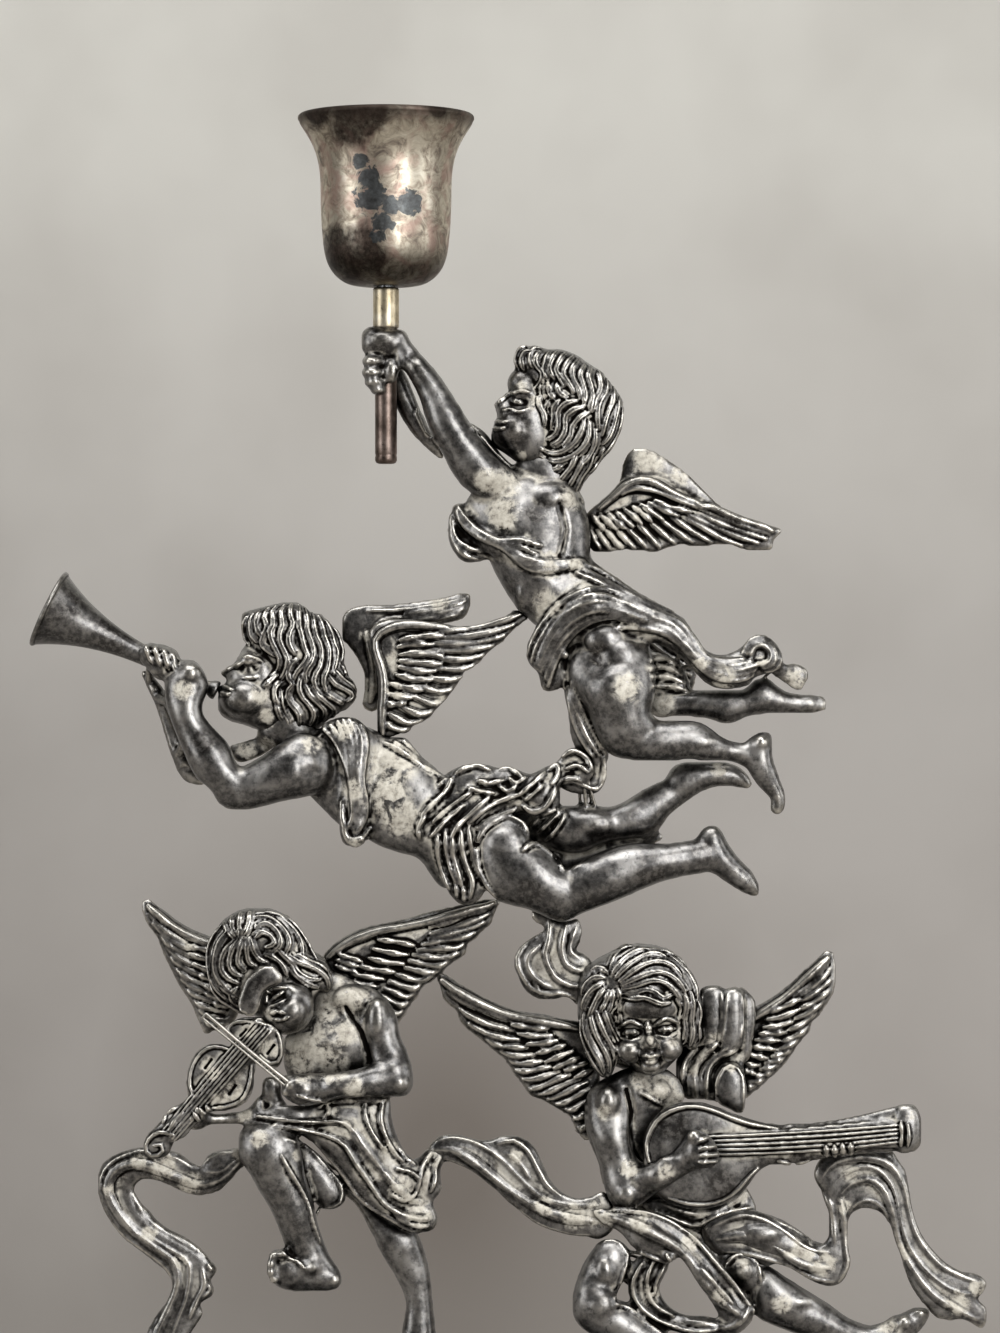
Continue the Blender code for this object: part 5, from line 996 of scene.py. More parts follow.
FORMS["lute_body"] = [
    ("""612,1074 636,1066 664,1068 680,1082 684,1100 664,1116 650,1140 644,1168 620,1192 604,1186 598,1160
    588,1136 584,1108 592,1088""", "640,1085,6 620,1140,2 665,1100,4", 0.5),
    ("""588,1094 600,1082 616,1078 628,1086 631,1104 632,1130 636,1156 648,1166 646,1192 630,1206 614,1203
    605,1188 601,1166 594,1144 587,1120""", "608,1095,10 612,1150,18 626,1192,24", 0.85),
    ("""614,1184 626,1170 648,1160 668,1152 680,1138 688,1126 697,1125 708,1132 716,1146 712,1160 694,1164
    674,1176 656,1188 638,1202 620,1206""", "628,1192,26 668,1166,42 704,1146,52", 0.9),
    ("""640,1205 656,1196 690,1202 718,1196 742,1184 752,1198 756,1210 742,1216 722,1220 700,1230 676,1222
    654,1212""", "660,1205,16 700,1215,14 745,1200,10", 0.5),
    ("640,1150 700,1150 740,1170 744,1196 700,1214 650,1212 620,1200", -4, 0.5),
    ("""590,1205 612,1206 640,1206 664,1214 688,1228 706,1242 720,1260 734,1278 748,1296 752,1312 742,1326
    722,1334 700,1330 718,1316 710,1298 700,1284 690,1268 680,1252 668,1256 650,1254 634,1244 618,1228
    600,1220""", "600,1212,26 650,1232,40 700,1262,40 735,1305,32 712,1326,26", 0.5),
    ("""636,1254 652,1250 668,1258 664,1270 658,1284 664,1298 680,1310 704,1312 722,1318 716,1330 690,1332
    664,1324 642,1312 630,1296 627,1276""", "645,1260,30 640,1290,26 690,1322,26", 0.6),
    ("""592,1248 600,1239 614,1236 626,1244 630,1256 622,1278 612,1294 628,1300 644,1316 668,1332 700,1346
    736,1362 752,1376 738,1386 710,1378 672,1364 636,1348 600,1334 580,1322 572,1306 574,1286
    582,1264""", "605,1260,22 590,1305,30 660,1345,30 735,1374,18", 0.9),
    ("""728,1364 748,1366 770,1376 790,1384 796,1394 782,1400 756,1394
    734,1386""", "740,1375,16 785,1391,15", 0.9),
    ("""700,1232 716,1220 742,1213 764,1213 786,1222 808,1238 824,1244 832,1262 828,1279 810,1276 794,1266
    776,1262 756,1256 736,1250 714,1250""", "720,1235,8 780,1240,8 820,1262,10", 0.8),
    ("718,1256 734,1250 750,1256 762,1268 760,1284 744,1288 728,1278", 16, 0.7),
    ("""750,1268 766,1265 784,1276 806,1290 828,1304 848,1318 870,1326 888,1322 900,1334 890,1348 864,1350
    834,1344 806,1336 778,1326 756,1314 750,1292""", "765,1290,8 820,1322,4 885,1336,0", 0.9),
    ("878,1332 890,1318 902,1314 918,1307 930,1311 926,1322 914,1336 900,1346 884,1346", 0, 0.85),
    ("626,1086 646,1092 660,1110 646,1130 638,1156 632,1150 630,1120", -2, 0.4),
]
FOLDS["lute_body"] = [
    ("""612,1206 640,1207 664,1214 690,1230 706,1247 720,1264 735,1282 748,1300; 653,1256 646,1272 648,1290
    656,1302 672,1311; 616,1298 630,1304 646,1318 668,1334; 696,1134 706,1131 718,1131; 698,1142 708,1140
    722,1141; 698,1149 710,1148 722,1149; 696,1156 708,1155 720,1156""", 0, 2.2, 0.45),
    ("604,1212 630,1218 656,1230 676,1242 690,1257 704,1277 722,1297 736,1308", 0, 7, -0.3),
    ("610,1225 626,1240 646,1250 660,1255 672,1257 681,1247; 700,1262 716,1281 731,1298", 0, 2.4, 0.45),
    ("641,1258 632,1276 634,1294 648,1310 670,1321 696,1327 716,1325", 0, 2.6, 0.45),
    ("""664,1261 656,1276 654,1290; 697,1232 716,1222 740,1216 764,1215 790,1226 812,1240; 597,1240 614,1237
    627,1250 622,1272 614,1292; 640,1090 652,1098 664,1104""", 0, 1.8, 0.45),
    ("684,1318 706,1320 726,1323 741,1313 748,1300", 0, 4.6, -0.3),
    ("""650,1208 672,1216 694,1224 712,1215 734,1208 756,1206; 722,1266 731,1254 746,1252 757,1262 760,1278;
    751,1290 752,1308; 664,1246 668,1254 675,1258 682,1252; 690,1256 704,1272 712,1290
    720,1302""", 0, 2, 0.45),
    ("660,1201 684,1210 706,1212 726,1204 744,1192", 0, 4.2, -0.3),
]
KNOBS["lute_body"] = """692,1130,58,8,7,8 668,1160,46,14,10,8 608,1100,22,12,16,12 626,1190,34,12,12,10
    656,1090,14,16,12,10 600,1300,38,18,18,14 604,1268,32,12,18,12 760,1232,16,26,12,12 815,1262,14,10,12,8
    668,1250,46,8,6,6 742,1268,20,12,12,10 920,1312,4,7,4,6 904,1322,6,8,8,8 790,1300,14,26,10,12"""
CREAM["lute_body"] = """660,1086,16 642,1078,12 672,1100,12 628,1164,10 664,1166,9 600,1212,14 640,1214,12
    700,1214,10 736,1196,12 802,1252,13 820,1264,12 650,1290,11 716,1292,9 604,1110,8 690,1236,10 740,1262,8
    888,1330,12 780,1300,10"""
CUTS["lute_body"] = [("626,1088 631,1110 632,1140 640,1160", 0.7, 0.6)]


# Finishes


def hexed(colour):
    """An sRGB hex value as linear red, green, blue and alpha, or a level as a grey."""
    if not isinstance(colour, str):
        return (colour, colour, colour, 1.0)
    parts = [int(colour[k:k + 2], 16) / 255 for k in (1, 3, 5)]
    return tuple(v / 12.92 if v <= 0.04045 else ((v + 0.055) / 1.055) ** 2.4 for v in parts) + (1.0,)


def add(tree, kind, inputs=None, out=0, **settings):
    """Adds a node and gives back one of its outputs. Its inputs, by name or number, get sockets, values,
    hex colours or levels. Stops are a ramp's places with their colours or levels, and the other settings
    are the node's own."""
    made = tree.nodes.new("ShaderNode" + kind)
    for k, (place, colour) in enumerate(settings.pop("stops", ())):
        stops = made.color_ramp.elements
        stop = stops[k] if k < 2 else stops.new(place)
        stop.position = place
        stop.color = hexed(colour)
    for name, value in settings.items():
        setattr(made, name, value)
    for name, value in (inputs or {}).items():
        if isinstance(value, bpy.types.NodeSocket):
            tree.links.new(value, made.inputs[name])
        else:
            made.inputs[name].default_value = hexed(value) if made.inputs[name].type == "RGBA" else value
    return made.outputs[out]


def feed(surface, **sockets):
    """Links or sets the shader's own sockets."""
    for name, value in sockets.items():
        socket = surface.inputs[name.replace("_", " ")]
        if isinstance(value, bpy.types.NodeSocket):
            surface.id_data.links.new(value, socket)
        else:
            socket.default_value = value


def finish(name, **sockets):
    """A new material with these values on its shader's own sockets, and its places in millimetres."""
    material = bpy.data.materials.new(name)
    material.use_nodes = True
    tree = material.node_tree
    surface = tree.nodes["Principled BSDF"]
    feed(surface, **sockets)
    spot = add(tree, "TexCoord", out="Object")
    place = add(tree, "VectorMath", {0: spot, "Scale": 1 / MM}, operation="SCALE")
    return material, tree, surface, place


def grains(place, size, detail=3.0, rough=0.55, warp=0.0):
    """What a noise node needs for grains about that many millimetres across."""
    return {"Vector": place, "Scale": 1 / size, "Detail": detail, "Roughness": rough, "Distortion": warp}


def where(tree, *levels):
    """How far all the levels hold together. A level is a socket, a value, or a socket with stops to read it
    by, and a single one with coloured stops gives a colour."""
    held = None
    for level in levels:
        if isinstance(level, tuple):
            level = add(tree, "ValToRGB", {0: level[0]}, stops=level[1:])
        held = level if held is None else add(tree, "Math", {0: held, 1: level}, operation="MULTIPLY")
    return held


def layered(tree, body, *layers):
    """The body's colour with others over it, each a colour and the levels that it shows by."""
    for colour, *levels in layers:
        body = add(tree, "Mix", {0: where(tree, *levels), 6: body, 7: colour}, 2, data_type="RGBA")
    return body


def by_height(tree, place, *stops):
    """A level or colour over the height: stops of a height in millimetres and what it has."""
    share = where(tree, add(tree, "SeparateXYZ", {0: place}, "Z"), 1 / RAMP_HEIGHT)
    return where(tree, (share, *((height / RAMP_HEIGHT, value) for height, value in stops)))


def cast_silver():
    """Tarnished silver plate over a brass casting: worn bright on what stands out, with a painted highlight
    where that faces the front and back, sulphide brown-black in the grooves, where no cloth reaches,
    painted shade down the sides and underneath, dark patches of tarnish and in places painted shade, and
    dry silver cream in the hollows and in broad patches, in places a painted highlight. The film of
    tarnish is smooth and gives white glints. Its grains are 1 to 8 mm across."""
    material, tree, surface, place = finish("tarnished_silver_plate", Coat_Roughness=0.22)
    hollow, sunk, aside, under, cream, dark = (
        add(tree, "Attribute", out="Fac", attribute_name=name)
        for name in ("hollow", "sunk", "aside", "under", "cream", "dark")
    )
    blotch = add(tree, "TexNoise", grains(place, 7.0, 5.0, 0.6, 0.4))
    speck = add(tree, "TexNoise", grains(place, 1.3, 5.0, 0.65))
    fine = add(tree, "TexNoise", grains(place, 0.35))
    streak = add(tree, "TexNoise", grains(place, 2.6, 6.0, 0.65, 0.8))
    shade = add(tree, "AmbientOcclusion", {"Distance": 0.0045}, "AO", samples=6)
    # Worn bright on what stands out, and a painted highlight where that faces the front and back.
    rubbed_and_highlit = where(tree, (hollow, (0.3, 0.85), (0.45, 0.0)), (speck, (0.3, 0.4), (0.55, 1.0)),
                   (aside, (0.3, 1.0), (0.8, 0.15)))
    broad = where(tree, (sunk, (0.52, 0.0), (0.62, 1.0)), (blotch, (0.45, 0.0), (0.53, 1.0)))
    # Cream from dry silver cream in hollows and patches, and in places a painted highlight.
    dried_cream_and_highlight = where(tree, cream, (streak, (0.34, 0.2), (0.54, 1.0)), (speck, (0.32, 0.5), (0.5, 1.0)))
    dried_cream_and_highlight = where(tree, (dried_cream_and_highlight, (0.2, 0.0), (0.5, 1.0)))
    residue_and_highlight = add(tree, "Mix", {0: 1.0, 6: broad, 7: dried_cream_and_highlight}, 2, data_type="RGBA", blend_type="LIGHTEN")
    facing = (aside, (0.3, 1.0), (0.75, 0.0))
    residue_and_highlight = where(tree, residue_and_highlight, (hollow, (0.56, 1.0), (0.66, 0.0)), facing, 0.9)
    chalk = where(tree, (speck, (0.35, "#9f988c"), (0.5, "#cfc9bb"), (0.65, "#e4dfd2")))
    groove = where(tree, (hollow, (0.53, 0.0), (0.66, 1.0)))
    body = layered(
        tree, where(tree, (blotch, (0.3, "#3a3938"), (0.5, "#656361"), (0.68, "#a5a3a0"))),
        # Painted shade on the faces that turn down.
        ("#1b1918", (under, (0.2, 0.0), (0.75, 0.85))),
        # Dark marks: tarnish, and in places painted shade.
        ("#2b2724", (dark, (0.3, 0.0), (0.6, 1.0)), (streak, (0.3, 1.0), (0.62, 0.7))),
        ("#aeaaa4", (speck, (0.46, 0.0), (0.62, 0.35))),
        ("#242221", (speck, (0.34, 0.6), (0.45, 0.0))),
        # Painted shade and dark reflection down the sides that turn away from the front and back.
        ("#191613", (aside, (0.4, 0.0), (0.8, 0.9))),
        # Painted highlight, with wear, on what stands out and faces the front and back.
        ("#d9d4c9", rubbed_and_highlit),
        # Cream in hollows and patches, in places a painted highlight.
        (chalk, residue_and_highlight),
        ("#100d0b", groove),
        ("#12100d", (shade, (0.3, 0.92), (0.8, 0.0))),
    )
    metal = add(tree, "Math", {0: 1.0, 1: where(tree, residue_and_highlight, 0.75)}, operation="SUBTRACT")
    coat = where(tree, metal, (hollow, (0.5, 1.0), (0.6, 0.0)), (shade, (0.4, 0.0), (0.85, 1.0)))
    sheen = where(tree, (blotch, (0.3, 0.3), (0.7, 0.42)))
    sheen = layered(tree, sheen, (0.28, rubbed_and_highlit), (0.6, residue_and_highlight), (0.6, groove))
    pits = add(tree, "Bump", {"Strength": 0.35, "Distance": 0.0002, "Height": speck})
    grain = add(tree, "Bump", {"Strength": 0.15, "Distance": 0.0001, "Height": fine, "Normal": pits})
    feed(surface, Base_Color=body, Metallic=metal, Coat_Weight=coat, Roughness=sheen, Normal=grain)
    return material


# Splashes on the cup's front, each at marks with its reach: dark brown under the lip and at the bottom
# left, and flaked to blue-grey in the middle.
DARK_SPOTS = "352,128,24 372,122,20 322,120,16 350,256,26 336,244,16 372,262,16 440,118,9"
FLAKED = "362,168,8 370,184,11 374,203,15 392,213,11 410,208,12 384,228,11 380,242,7"


def splashed(tree, place, torn, spots, rough, soft):
    """Where those splashes lie, seen from the front, and how torn and how soft their edges are."""
    front = add(tree, "VectorMath", {0: place, 1: (1, 0, 1)}, operation="MULTIPLY")
    nearest = None
    for across, height, reach in marks(spots):
        spot = (across, 0, height + MOUND_TOP)
        away = add(tree, "VectorMath", {0: front, 1: spot}, "Value", operation="DISTANCE")
        near = add(tree, "Math", {0: away, 1: -1 / reach, 2: 1.5}, operation="MULTIPLY_ADD")
        nearest = add(tree, "Math", {0: nearest, 1: near}, operation="MAXIMUM") if nearest else near
    nearest = add(tree, "Math", {0: torn, 1: rough, 2: nearest}, operation="MULTIPLY_ADD")
    middle = 0.2 + 0.2 * rough
    return where(tree, (where(tree, nearest, 0.4), (middle - soft, 0.0), (middle + soft, 1.0)))


def spun_silver():
    """Spun silver plate: cream to pinkish grey and cloudy, flaked to blue-grey in the middle, dark brown in
    spots under the lip and at the bottom left and round the lip, with painted shade round the bowl's
    underside."""
    material, tree, surface, place = finish("spun_silver_plate", Metallic=1.0)
    blotch = add(tree, "TexNoise", grains(place, 6.0, 5.0, 0.6, 0.5))
    cloud = add(tree, "TexNoise", grains(place, 3.2, 7.0, 0.68, 1.0))
    speck = add(tree, "TexNoise", grains(place, 1.1, 5.0, 0.7))
    shade = add(tree, "AmbientOcclusion", {"Distance": 0.006}, "AO", samples=6)
    dark_spots = splashed(tree, place, blotch, DARK_SPOTS, 2.2, 0.09)
    flaked = splashed(tree, place, cloud, FLAKED, 3.2, 0.03)
    bare = where(tree, (speck, (0.35, "#3f4244"), (0.65, "#606466")))
    # Painted shade round the bowl's rounded underside.
    underside_shade = by_height(tree, place, (266.5, 0.9), (271.0, 0.0))
    lip = by_height(tree, place, (293.5, 0.0), (296.0, 0.95))
    lip = where(tree, lip, (blotch, (0.4, 1.0), (0.7, 0.75)))
    body = layered(
        tree, where(tree, (cloud, (0.32, "#6b625a"), (0.44, "#a39889"), (0.55, "#c9c0ae"), (0.7, "#e2dccd"))),
        ("#b99c90", (blotch, (0.47, 0.0), (0.6, 0.65))),
        ("#2c2724", (speck, (0.27, 0.8), (0.36, 0.0))),
        ("#2f2926", dark_spots, (speck, (0.3, 1.0), (0.7, 0.7))),
        ("#1d1713", underside_shade, (speck, (0.3, 1.0), (0.7, 0.75))),
        ("#332b26", lip),
        (bare, flaked, 0.95),
        ("#1a1512", (shade, (0.2, 0.8), (0.7, 0.0))),
    )
    sheen = layered(tree, where(tree, (cloud, (0.35, 0.5), (0.65, 0.34))), (0.6, lip))
    pits = add(tree, "Bump", {"Strength": 0.12, "Distance": 0.0001, "Height": speck})
    feed(surface, Base_Color=body, Roughness=sheen, Normal=pits)
    return material


def worn_brass():
    """Turned brass with its plate worn thin: cream-yellow at the top, where the wax is wiped off, and dark
    and pinkish further down."""
    material, tree, surface, place = finish("worn_brass", Metallic=1.0)
    blotch = add(tree, "TexNoise", grains(place, 4.0, 4.0))
    speck = add(tree, "TexNoise", grains(place, 0.8, 4.0, 0.7))
    shade = add(tree, "AmbientOcclusion", {"Distance": 0.004}, "AO", samples=6)
    wiped = where(tree, (blotch, (0.3, "#9c8e74"), (0.5, "#d3c7ab"), (0.7, "#e8e1cf")))
    body = layered(
        tree, where(tree, (blotch, (0.3, "#4b413b"), (0.5, "#75675f"), (0.7, "#9b8c84"))),
        (wiped, by_height(tree, place, (252.0, 0.0), (256.0, 1.0))),
        ("#3a2f26", (speck, (0.3, 0.8), (0.42, 0.0))),
        ("#1d1712", (shade, (0.25, 0.85), (0.7, 0.0))),
    )
    feed(surface, Base_Color=body, Roughness=where(tree, (speck, (0.3, 0.32), (0.7, 0.46))))
    return material


def zinc_plate():
    """Zinc-plated steel screws: pale, slightly blue, with a fine dull grain."""
    material, tree, surface, place = finish("zinc_plated_steel", Metallic=1.0)
    speck = add(tree, "TexNoise", grains(place, 0.5, 4.0))
    body = where(tree, (speck, (0.3, "#8b8f92"), (0.7, "#b9bcbd")))
    feed(surface, Base_Color=body, Roughness=where(tree, (speck, (0.3, 0.28), (0.7, 0.42))))
    return material


def cast_iron():
    """Cast iron as it leaves the sand: dark, rough and faintly rusted."""
    material, tree, surface, place = finish("cast_iron", Metallic=1.0, Roughness=0.7)
    sand = add(tree, "TexNoise", grains(place, 0.8, 5.0, 0.7))
    rust = add(tree, "TexNoise", grains(place, 5.0, 4.0))
    body = layered(tree, "#4a4a49", ("#5d4535", (rust, (0.55, 0.0), (0.7, 0.7))))
    grain = add(tree, "Bump", {"Strength": 0.5, "Distance": 0.0003, "Height": sand})
    feed(surface, Base_Color=body, Normal=grain)
    return material


def baize():
    """Green baize, a felted wool cloth: matt, with fibres about half a millimetre long."""
    material, tree, surface, place = finish("green_baize", Metallic=0.0, Roughness=0.95, Sheen_Weight=0.3)
    fibre = add(tree, "TexNoise", grains(place, 0.45, 4.0, 0.7, 1.5))
    nap = add(tree, "Bump", {"Strength": 0.6, "Distance": 0.0002, "Height": fibre})
    feed(surface, Base_Color=where(tree, (fibre, (0.3, "#27402e"), (0.7, "#3d5c44"))), Normal=nap)
    return material


def painted_wall():
    """The studio's floor and backdrop: a warm grey board, mottled, darker towards the table as painted shade,
    and with a painted shadow of the castings low down behind the figures. Seen from behind it is clear, so
    that the backs of the castings show."""
    material, tree, surface, place = finish("warm_grey_board", Roughness=0.85)
    cloud = add(tree, "TexNoise", grains(place, 70.0, 3.0, 0.5))
    # Painted shadow of the castings on the backdrop, low down behind the figures.
    apart = add(tree, "VectorMath", {0: place, 1: (-15.0, 340.0, 50.0)}, operation="SUBTRACT")
    apart = add(tree, "VectorMath", {0: apart, 1: (0.009, 0.009, 0.007)}, operation="MULTIPLY")
    apart = add(tree, "VectorMath", {0: apart}, "Value", operation="LENGTH")
    # Painted shade: the board darkens towards the table.
    body = by_height(tree, place, (0.0, "#a39e98"), (70.0, "#a9a49f"), (180.0, "#aeaaa5"), (270.0, "#bcb9b3"),
                     (345.0, "#c6c4bd"))
    body = layered(tree, body, ("#857e77", (cloud, (0.35, 0.2), (0.6, 0.0))),
                   ("#6b635b", (apart, (0.1, 0.85), (0.9, 0.0))))
    feed(surface, Base_Color=body)
    seen = add(tree, "LightPath", out="Is Camera Ray")
    behind = where(tree, add(tree, "NewGeometry", out="Backfacing"), seen)
    clear = add(tree, "BsdfTransparent")
    sides = add(tree, "MixShader", {0: behind, 1: surface.outputs[0], 2: clear})
    tree.links.new(sides, tree.nodes["Material Output"].inputs["Surface"])
    return material


# Castings

# The fine strand beside a lock of hair: how far it lies aside, its half width and how far it stands off, and
# the width and depth of the lock's parting, in millimetres.
ASIDE = 0.8
FINE_HALF = 0.24
FINE_LIFT = 0.1
PARTING = 0.2


def beside(line, away):
    """The line moved sideways by that many millimetres."""
    path = np.array([point[:2] for point in line])
    run = np.gradient(path, axis=0)
    run /= np.maximum(np.linalg.norm(run, axis=1), 1e-6)[:, None]
    return (path + away * np.stack([-run[:, 1], run[:, 0]], axis=1)).tolist()


def bundles(text, count):
    """The lines that run between the text's guides, or with no count, each of its lines by itself."""
    guides = [marks(guide) for guide in text.split(";")]
    return [flow(guides, count)] if count else [flow([guide], 1) for guide in guides]


def casting(name, grain, coarse, rounds):
    """A casting: forms blown up from their outlines, hollows, folds or feathers laid on them, and creases.
    Locks of hair have a fine strand beside them and are parted down the middle."""
    forms = [inflated(*form) for form in FORMS[name]]
    body = fused(f"{name}_block", forms + balls(KNOBS.get(name, "")), coarse, rounds)
    for line, width, depth in HOLLOWS.get(name, []):
        pressed(body, [marks(line)], width, depth)
    tree = skin(body)
    folds, partings = [], []
    for text, count, half, *more in FOLDS[name]:
        for lines in bundles(text, count):
            folds += laid(tree, lines, half / MARKS_PER_MM, *more)
            if half == LOCK and name.endswith("head"):
                folds += laid(tree, [beside(line, ASIDE) for line in lines], FINE_HALF, FINE_LIFT)
                partings += lines
    body = fused(f"{name}_casting", [body, strands(folds, 1)], grain, 1)
    if partings:
        pressed(body, partings, PARTING, PARTING)
    for line, width, depth in CUTS.get(name, []):
        pressed(body, [marks(line)], width, depth)
    return body


# Turned and spun pieces

# The stem's axis, from one point of the casting plane to another, and how high the cup's underside is on it.
STEM_FOOT = (-22.8, 0, 0)
STEM_TIP = (-22.8, 1, 0)
CUP_LOW = 230.8


def arc(centre, radius, start, end, steps):
    """Points on an arc, its angles in degrees from straight outwards."""
    angles = [math.radians(start + (end - start) * k / steps) for k in range(steps + 1)]
    return [(centre[0] + radius * math.cos(angle), centre[1] + radius * math.sin(angle)) for angle in angles]


def lathed(profile, foot=(0, 0, 0), tip=(0, 1, 0), segments=112, closed=False):
    """A shape turned about the line from foot towards tip, through (radius, distance along it) points."""
    count = len(profile)
    edges = [(k, k + 1) for k in range(count - 1)] + ([(count - 1, 0)] if closed else [])
    obj = drafted("turned", [(radius, height, 0) for radius, height in profile], edges, [])
    worked(obj, "SCREW", axis="Y", steps=segments, render_steps=segments, use_merge_vertices=True,
           merge_threshold=1e-4)
    merged(obj, outwards=True)
    turn = Vector((0, 1, 0)).rotation_difference(Vector(tip) - Vector(foot))
    obj.data.transform(Matrix.Translation(foot) @ turn.to_matrix().to_4x4())
    return obj


def raised(profile, height):
    """The profile with its distances counted from that height."""
    return [(radius, height + rise) for radius, rise in profile]


def spun_cup():
    """The bell cup: a rounded bowl, an upright wall that leans in a little, and a lip rolled outwards."""
    outer = [(1.8, 0), (5, 0), (7.3, 0.35), (8.9, 1.1), (10.3, 2.3), (11.4, 3.9), (12.1, 5.8), (12.5, 8),
             (12.75, 10.6), (12.95, 13.4), (13.05, 16.4), (13.1, 19.4), (13.2, 22), (13.5, 24.3),
             (14.05, 26.5), (14.85, 28.5), (15.8, 30.2), (16.7, 31.6), (17.25, 32.5)]
    lip = arc((16.9, 33.55), 0.75, -50, 180, 12)
    inner = [(15.9, 32.6), (15.2, 31.2), (14.3, 29.6), (13.4, 27.6), (12.7, 25.6), (12.2, 23.4), (11.95, 21),
             (11.85, 18), (11.75, 14.6), (11.55, 11), (11.3, 8), (10.8, 5.8), (10, 4), (8.6, 2.3), (6.8, 1.4),
             (5, 1.22)]
    boss = [(3.4, 1.2), (3.2, 1.15), (3.2, 1.0), (1.8, 1.0)]
    profile = through(outer, 3) + lip + through(inner, 3) + boss
    return lathed(raised(profile, CUP_LOW), STEM_FOOT, STEM_TIP, 144, closed=True)


def turned_stem():
    """The stem: a thick upper rod that shoulders in to a thinner tail with a rounded end, and a blind
    hole."""
    profile = [(0, 195.2), (1.5, 195.25), (1.95, 195.45), (2.2, 195.9), (2.2, 196.6), (2.12, 196.8),
               (2.12, 197.1), (2.2, 197.3)]
    profile += [(2.2, 195.9 + 1.6 * k) for k in range(2, 17)]
    profile += [(2.2, 222.0), (2.3, 222.3), (2.55, 222.5), (2.6, 222.8)]
    profile += [(2.6, 223.4 + 0.9 * k) for k in range(8)]
    profile += [(2.6, 230.1), (2.45, 230.4), (2.2, 230.5), (1.8, 230.5), (1.8, 223.5), (0, 223.5)]
    return lathed(profile, STEM_FOOT, STEM_TIP, 48)


def spun_foot():
    """The foot: a stepped, beaded rim rising in an ogee to a flat table, spun from one sheet."""
    outer = arc((58.6, 1.4), 1.4, -90, 90, 10) + arc((57.6, 3.3), 0.55, -60, 90, 6)
    outer += [(56.6, 3.5), (55.4, 3.8), (53.6, 4.5), (51.4, 5.6), (49, 7.2), (46.8, 9), (44.8, 10.9),
              (43, 12.6), (41.4, 14.0), (40, 15.0), (39.2, 15.4)]
    outer += arc((38.6, 16.15), 0.85, -55, 110, 8)
    outer += [(37.6, 16.9), (36.4, 17.1), (34, 17.2), (30, 17.25), (22, 17.5), (0, 17.5)]
    inner = [(0, 15.9), (22, 15.9), (34, 15.6), (36.4, 15.3), (38.6, 14.2), (40.6, 12.6), (43, 10.4),
             (45.6, 8), (48, 6), (50.6, 4.4), (53.4, 3.2), (55.6, 2.5), (56.9, 1.6), (57.2, 0.9), (57.2, 0)]
    return lathed(raised(outer + inner, FELT_PROUD - MOUND_TOP), segments=160, closed=True)


def horn():
    """The trumpet: a cup mouthpiece, a slender pipe and a flared bell with a rolled rim."""
    start, end = (-56.6, 149.8, 0.0), (-90.6, 166.4, 0.0)
    pipe = [(0, 0.9), (0.7, 0.6), (1.2, 0.05), (1.75, 0), (1.95, 0.5), (1.7, 1.3), (1.15, 2.2), (1.0, 3.2),
            (1.15, 4.2), (1.45, 5.4)]
    pipe += [(1.5 + 0.1 * k, 7 + 1.9 * k) for k in range(6)]
    bell = [(2.15, 18.4), (2.4, 20.6), (2.75, 22.8), (3.2, 25), (3.75, 27.2), (4.4, 29.4), (5.15, 31.5),
            (5.95, 33.4), (6.8, 35.2), (7.5, 36.5)]
    rim = arc((7.75, math.dist(start, end) - 0.45), 0.45, -90, 180, 8)
    hollow = [(6.8, 36.6), (6.1, 35.2), (5.2, 33.4), (4.4, 31.5), (3.7, 29.4), (3.05, 27.2), (2.5, 25),
              (2.05, 22.8), (1.5, 21.4), (0, 20.8)]
    return lathed(through(pipe + bell, 2) + rim + through(hollow, 2), start, end, 80)


# The bow's point and its frog, in the casting plane.
BOW_TIP = Vector((-58.4, 85.6, 11.6))
BOW_FROG = Vector((-40.6, 71.0, 11.6))


def on_bow(*stations):
    """Stations of the bow: how far from tip to frog, how far aside of it in mm, and the half width there."""
    run = BOW_FROG - BOW_TIP
    across = Vector((-run.y, run.x, 0)).normalized()
    return [(*(BOW_TIP + run * share + across * aside), half) for share, aside, half in stations]


def bow_stick():
    """The bow: a stick with a pointed head, a frog, and its ribbon of hair beside the stick."""
    stick = on_bow((0, 0.6, 0.3), (0.05, 0.62, 0.42), (0.5, 0.42, 0.42), (1, 0.5, 0.5))
    hair = on_bow((0.0, -0.42, 0.26), (0.5, -0.42, 0.26), (0.97, -0.42, 0.26))
    head = on_bow((0.0, 0.6, 0.34), (-0.005, -0.42, 0.3))
    nut = on_bow((0.95, 0.4, 0.55), (0.95, -0.4, 0.5))
    return fused("violin_bow", [strands([stick, hair, head, nut])], 0.13, 1)


# The cloud mound's billows: centre, and half width and half height.
MOUND_LUMPS = [
    ((-31, -7), (9, 6)), ((-17, -5), (10, 6)), ((-3, -6), (11, 7)), ((11, -3), (10, 8)), ((24, 0), (10, 11)),
    ((36, -3), (9, 9)), ((30, 6), (8, 8)), ((38, 8), (6.5, 7)),
]


# How far the billows stand before and behind the casting plane, their half thickness there, and the height
# at which the mound is cut off flat, in millimetres.
MOUND_DEPTH = 6
MOUND_HALF = 8.6
MOUND_FLOOR = -13.7


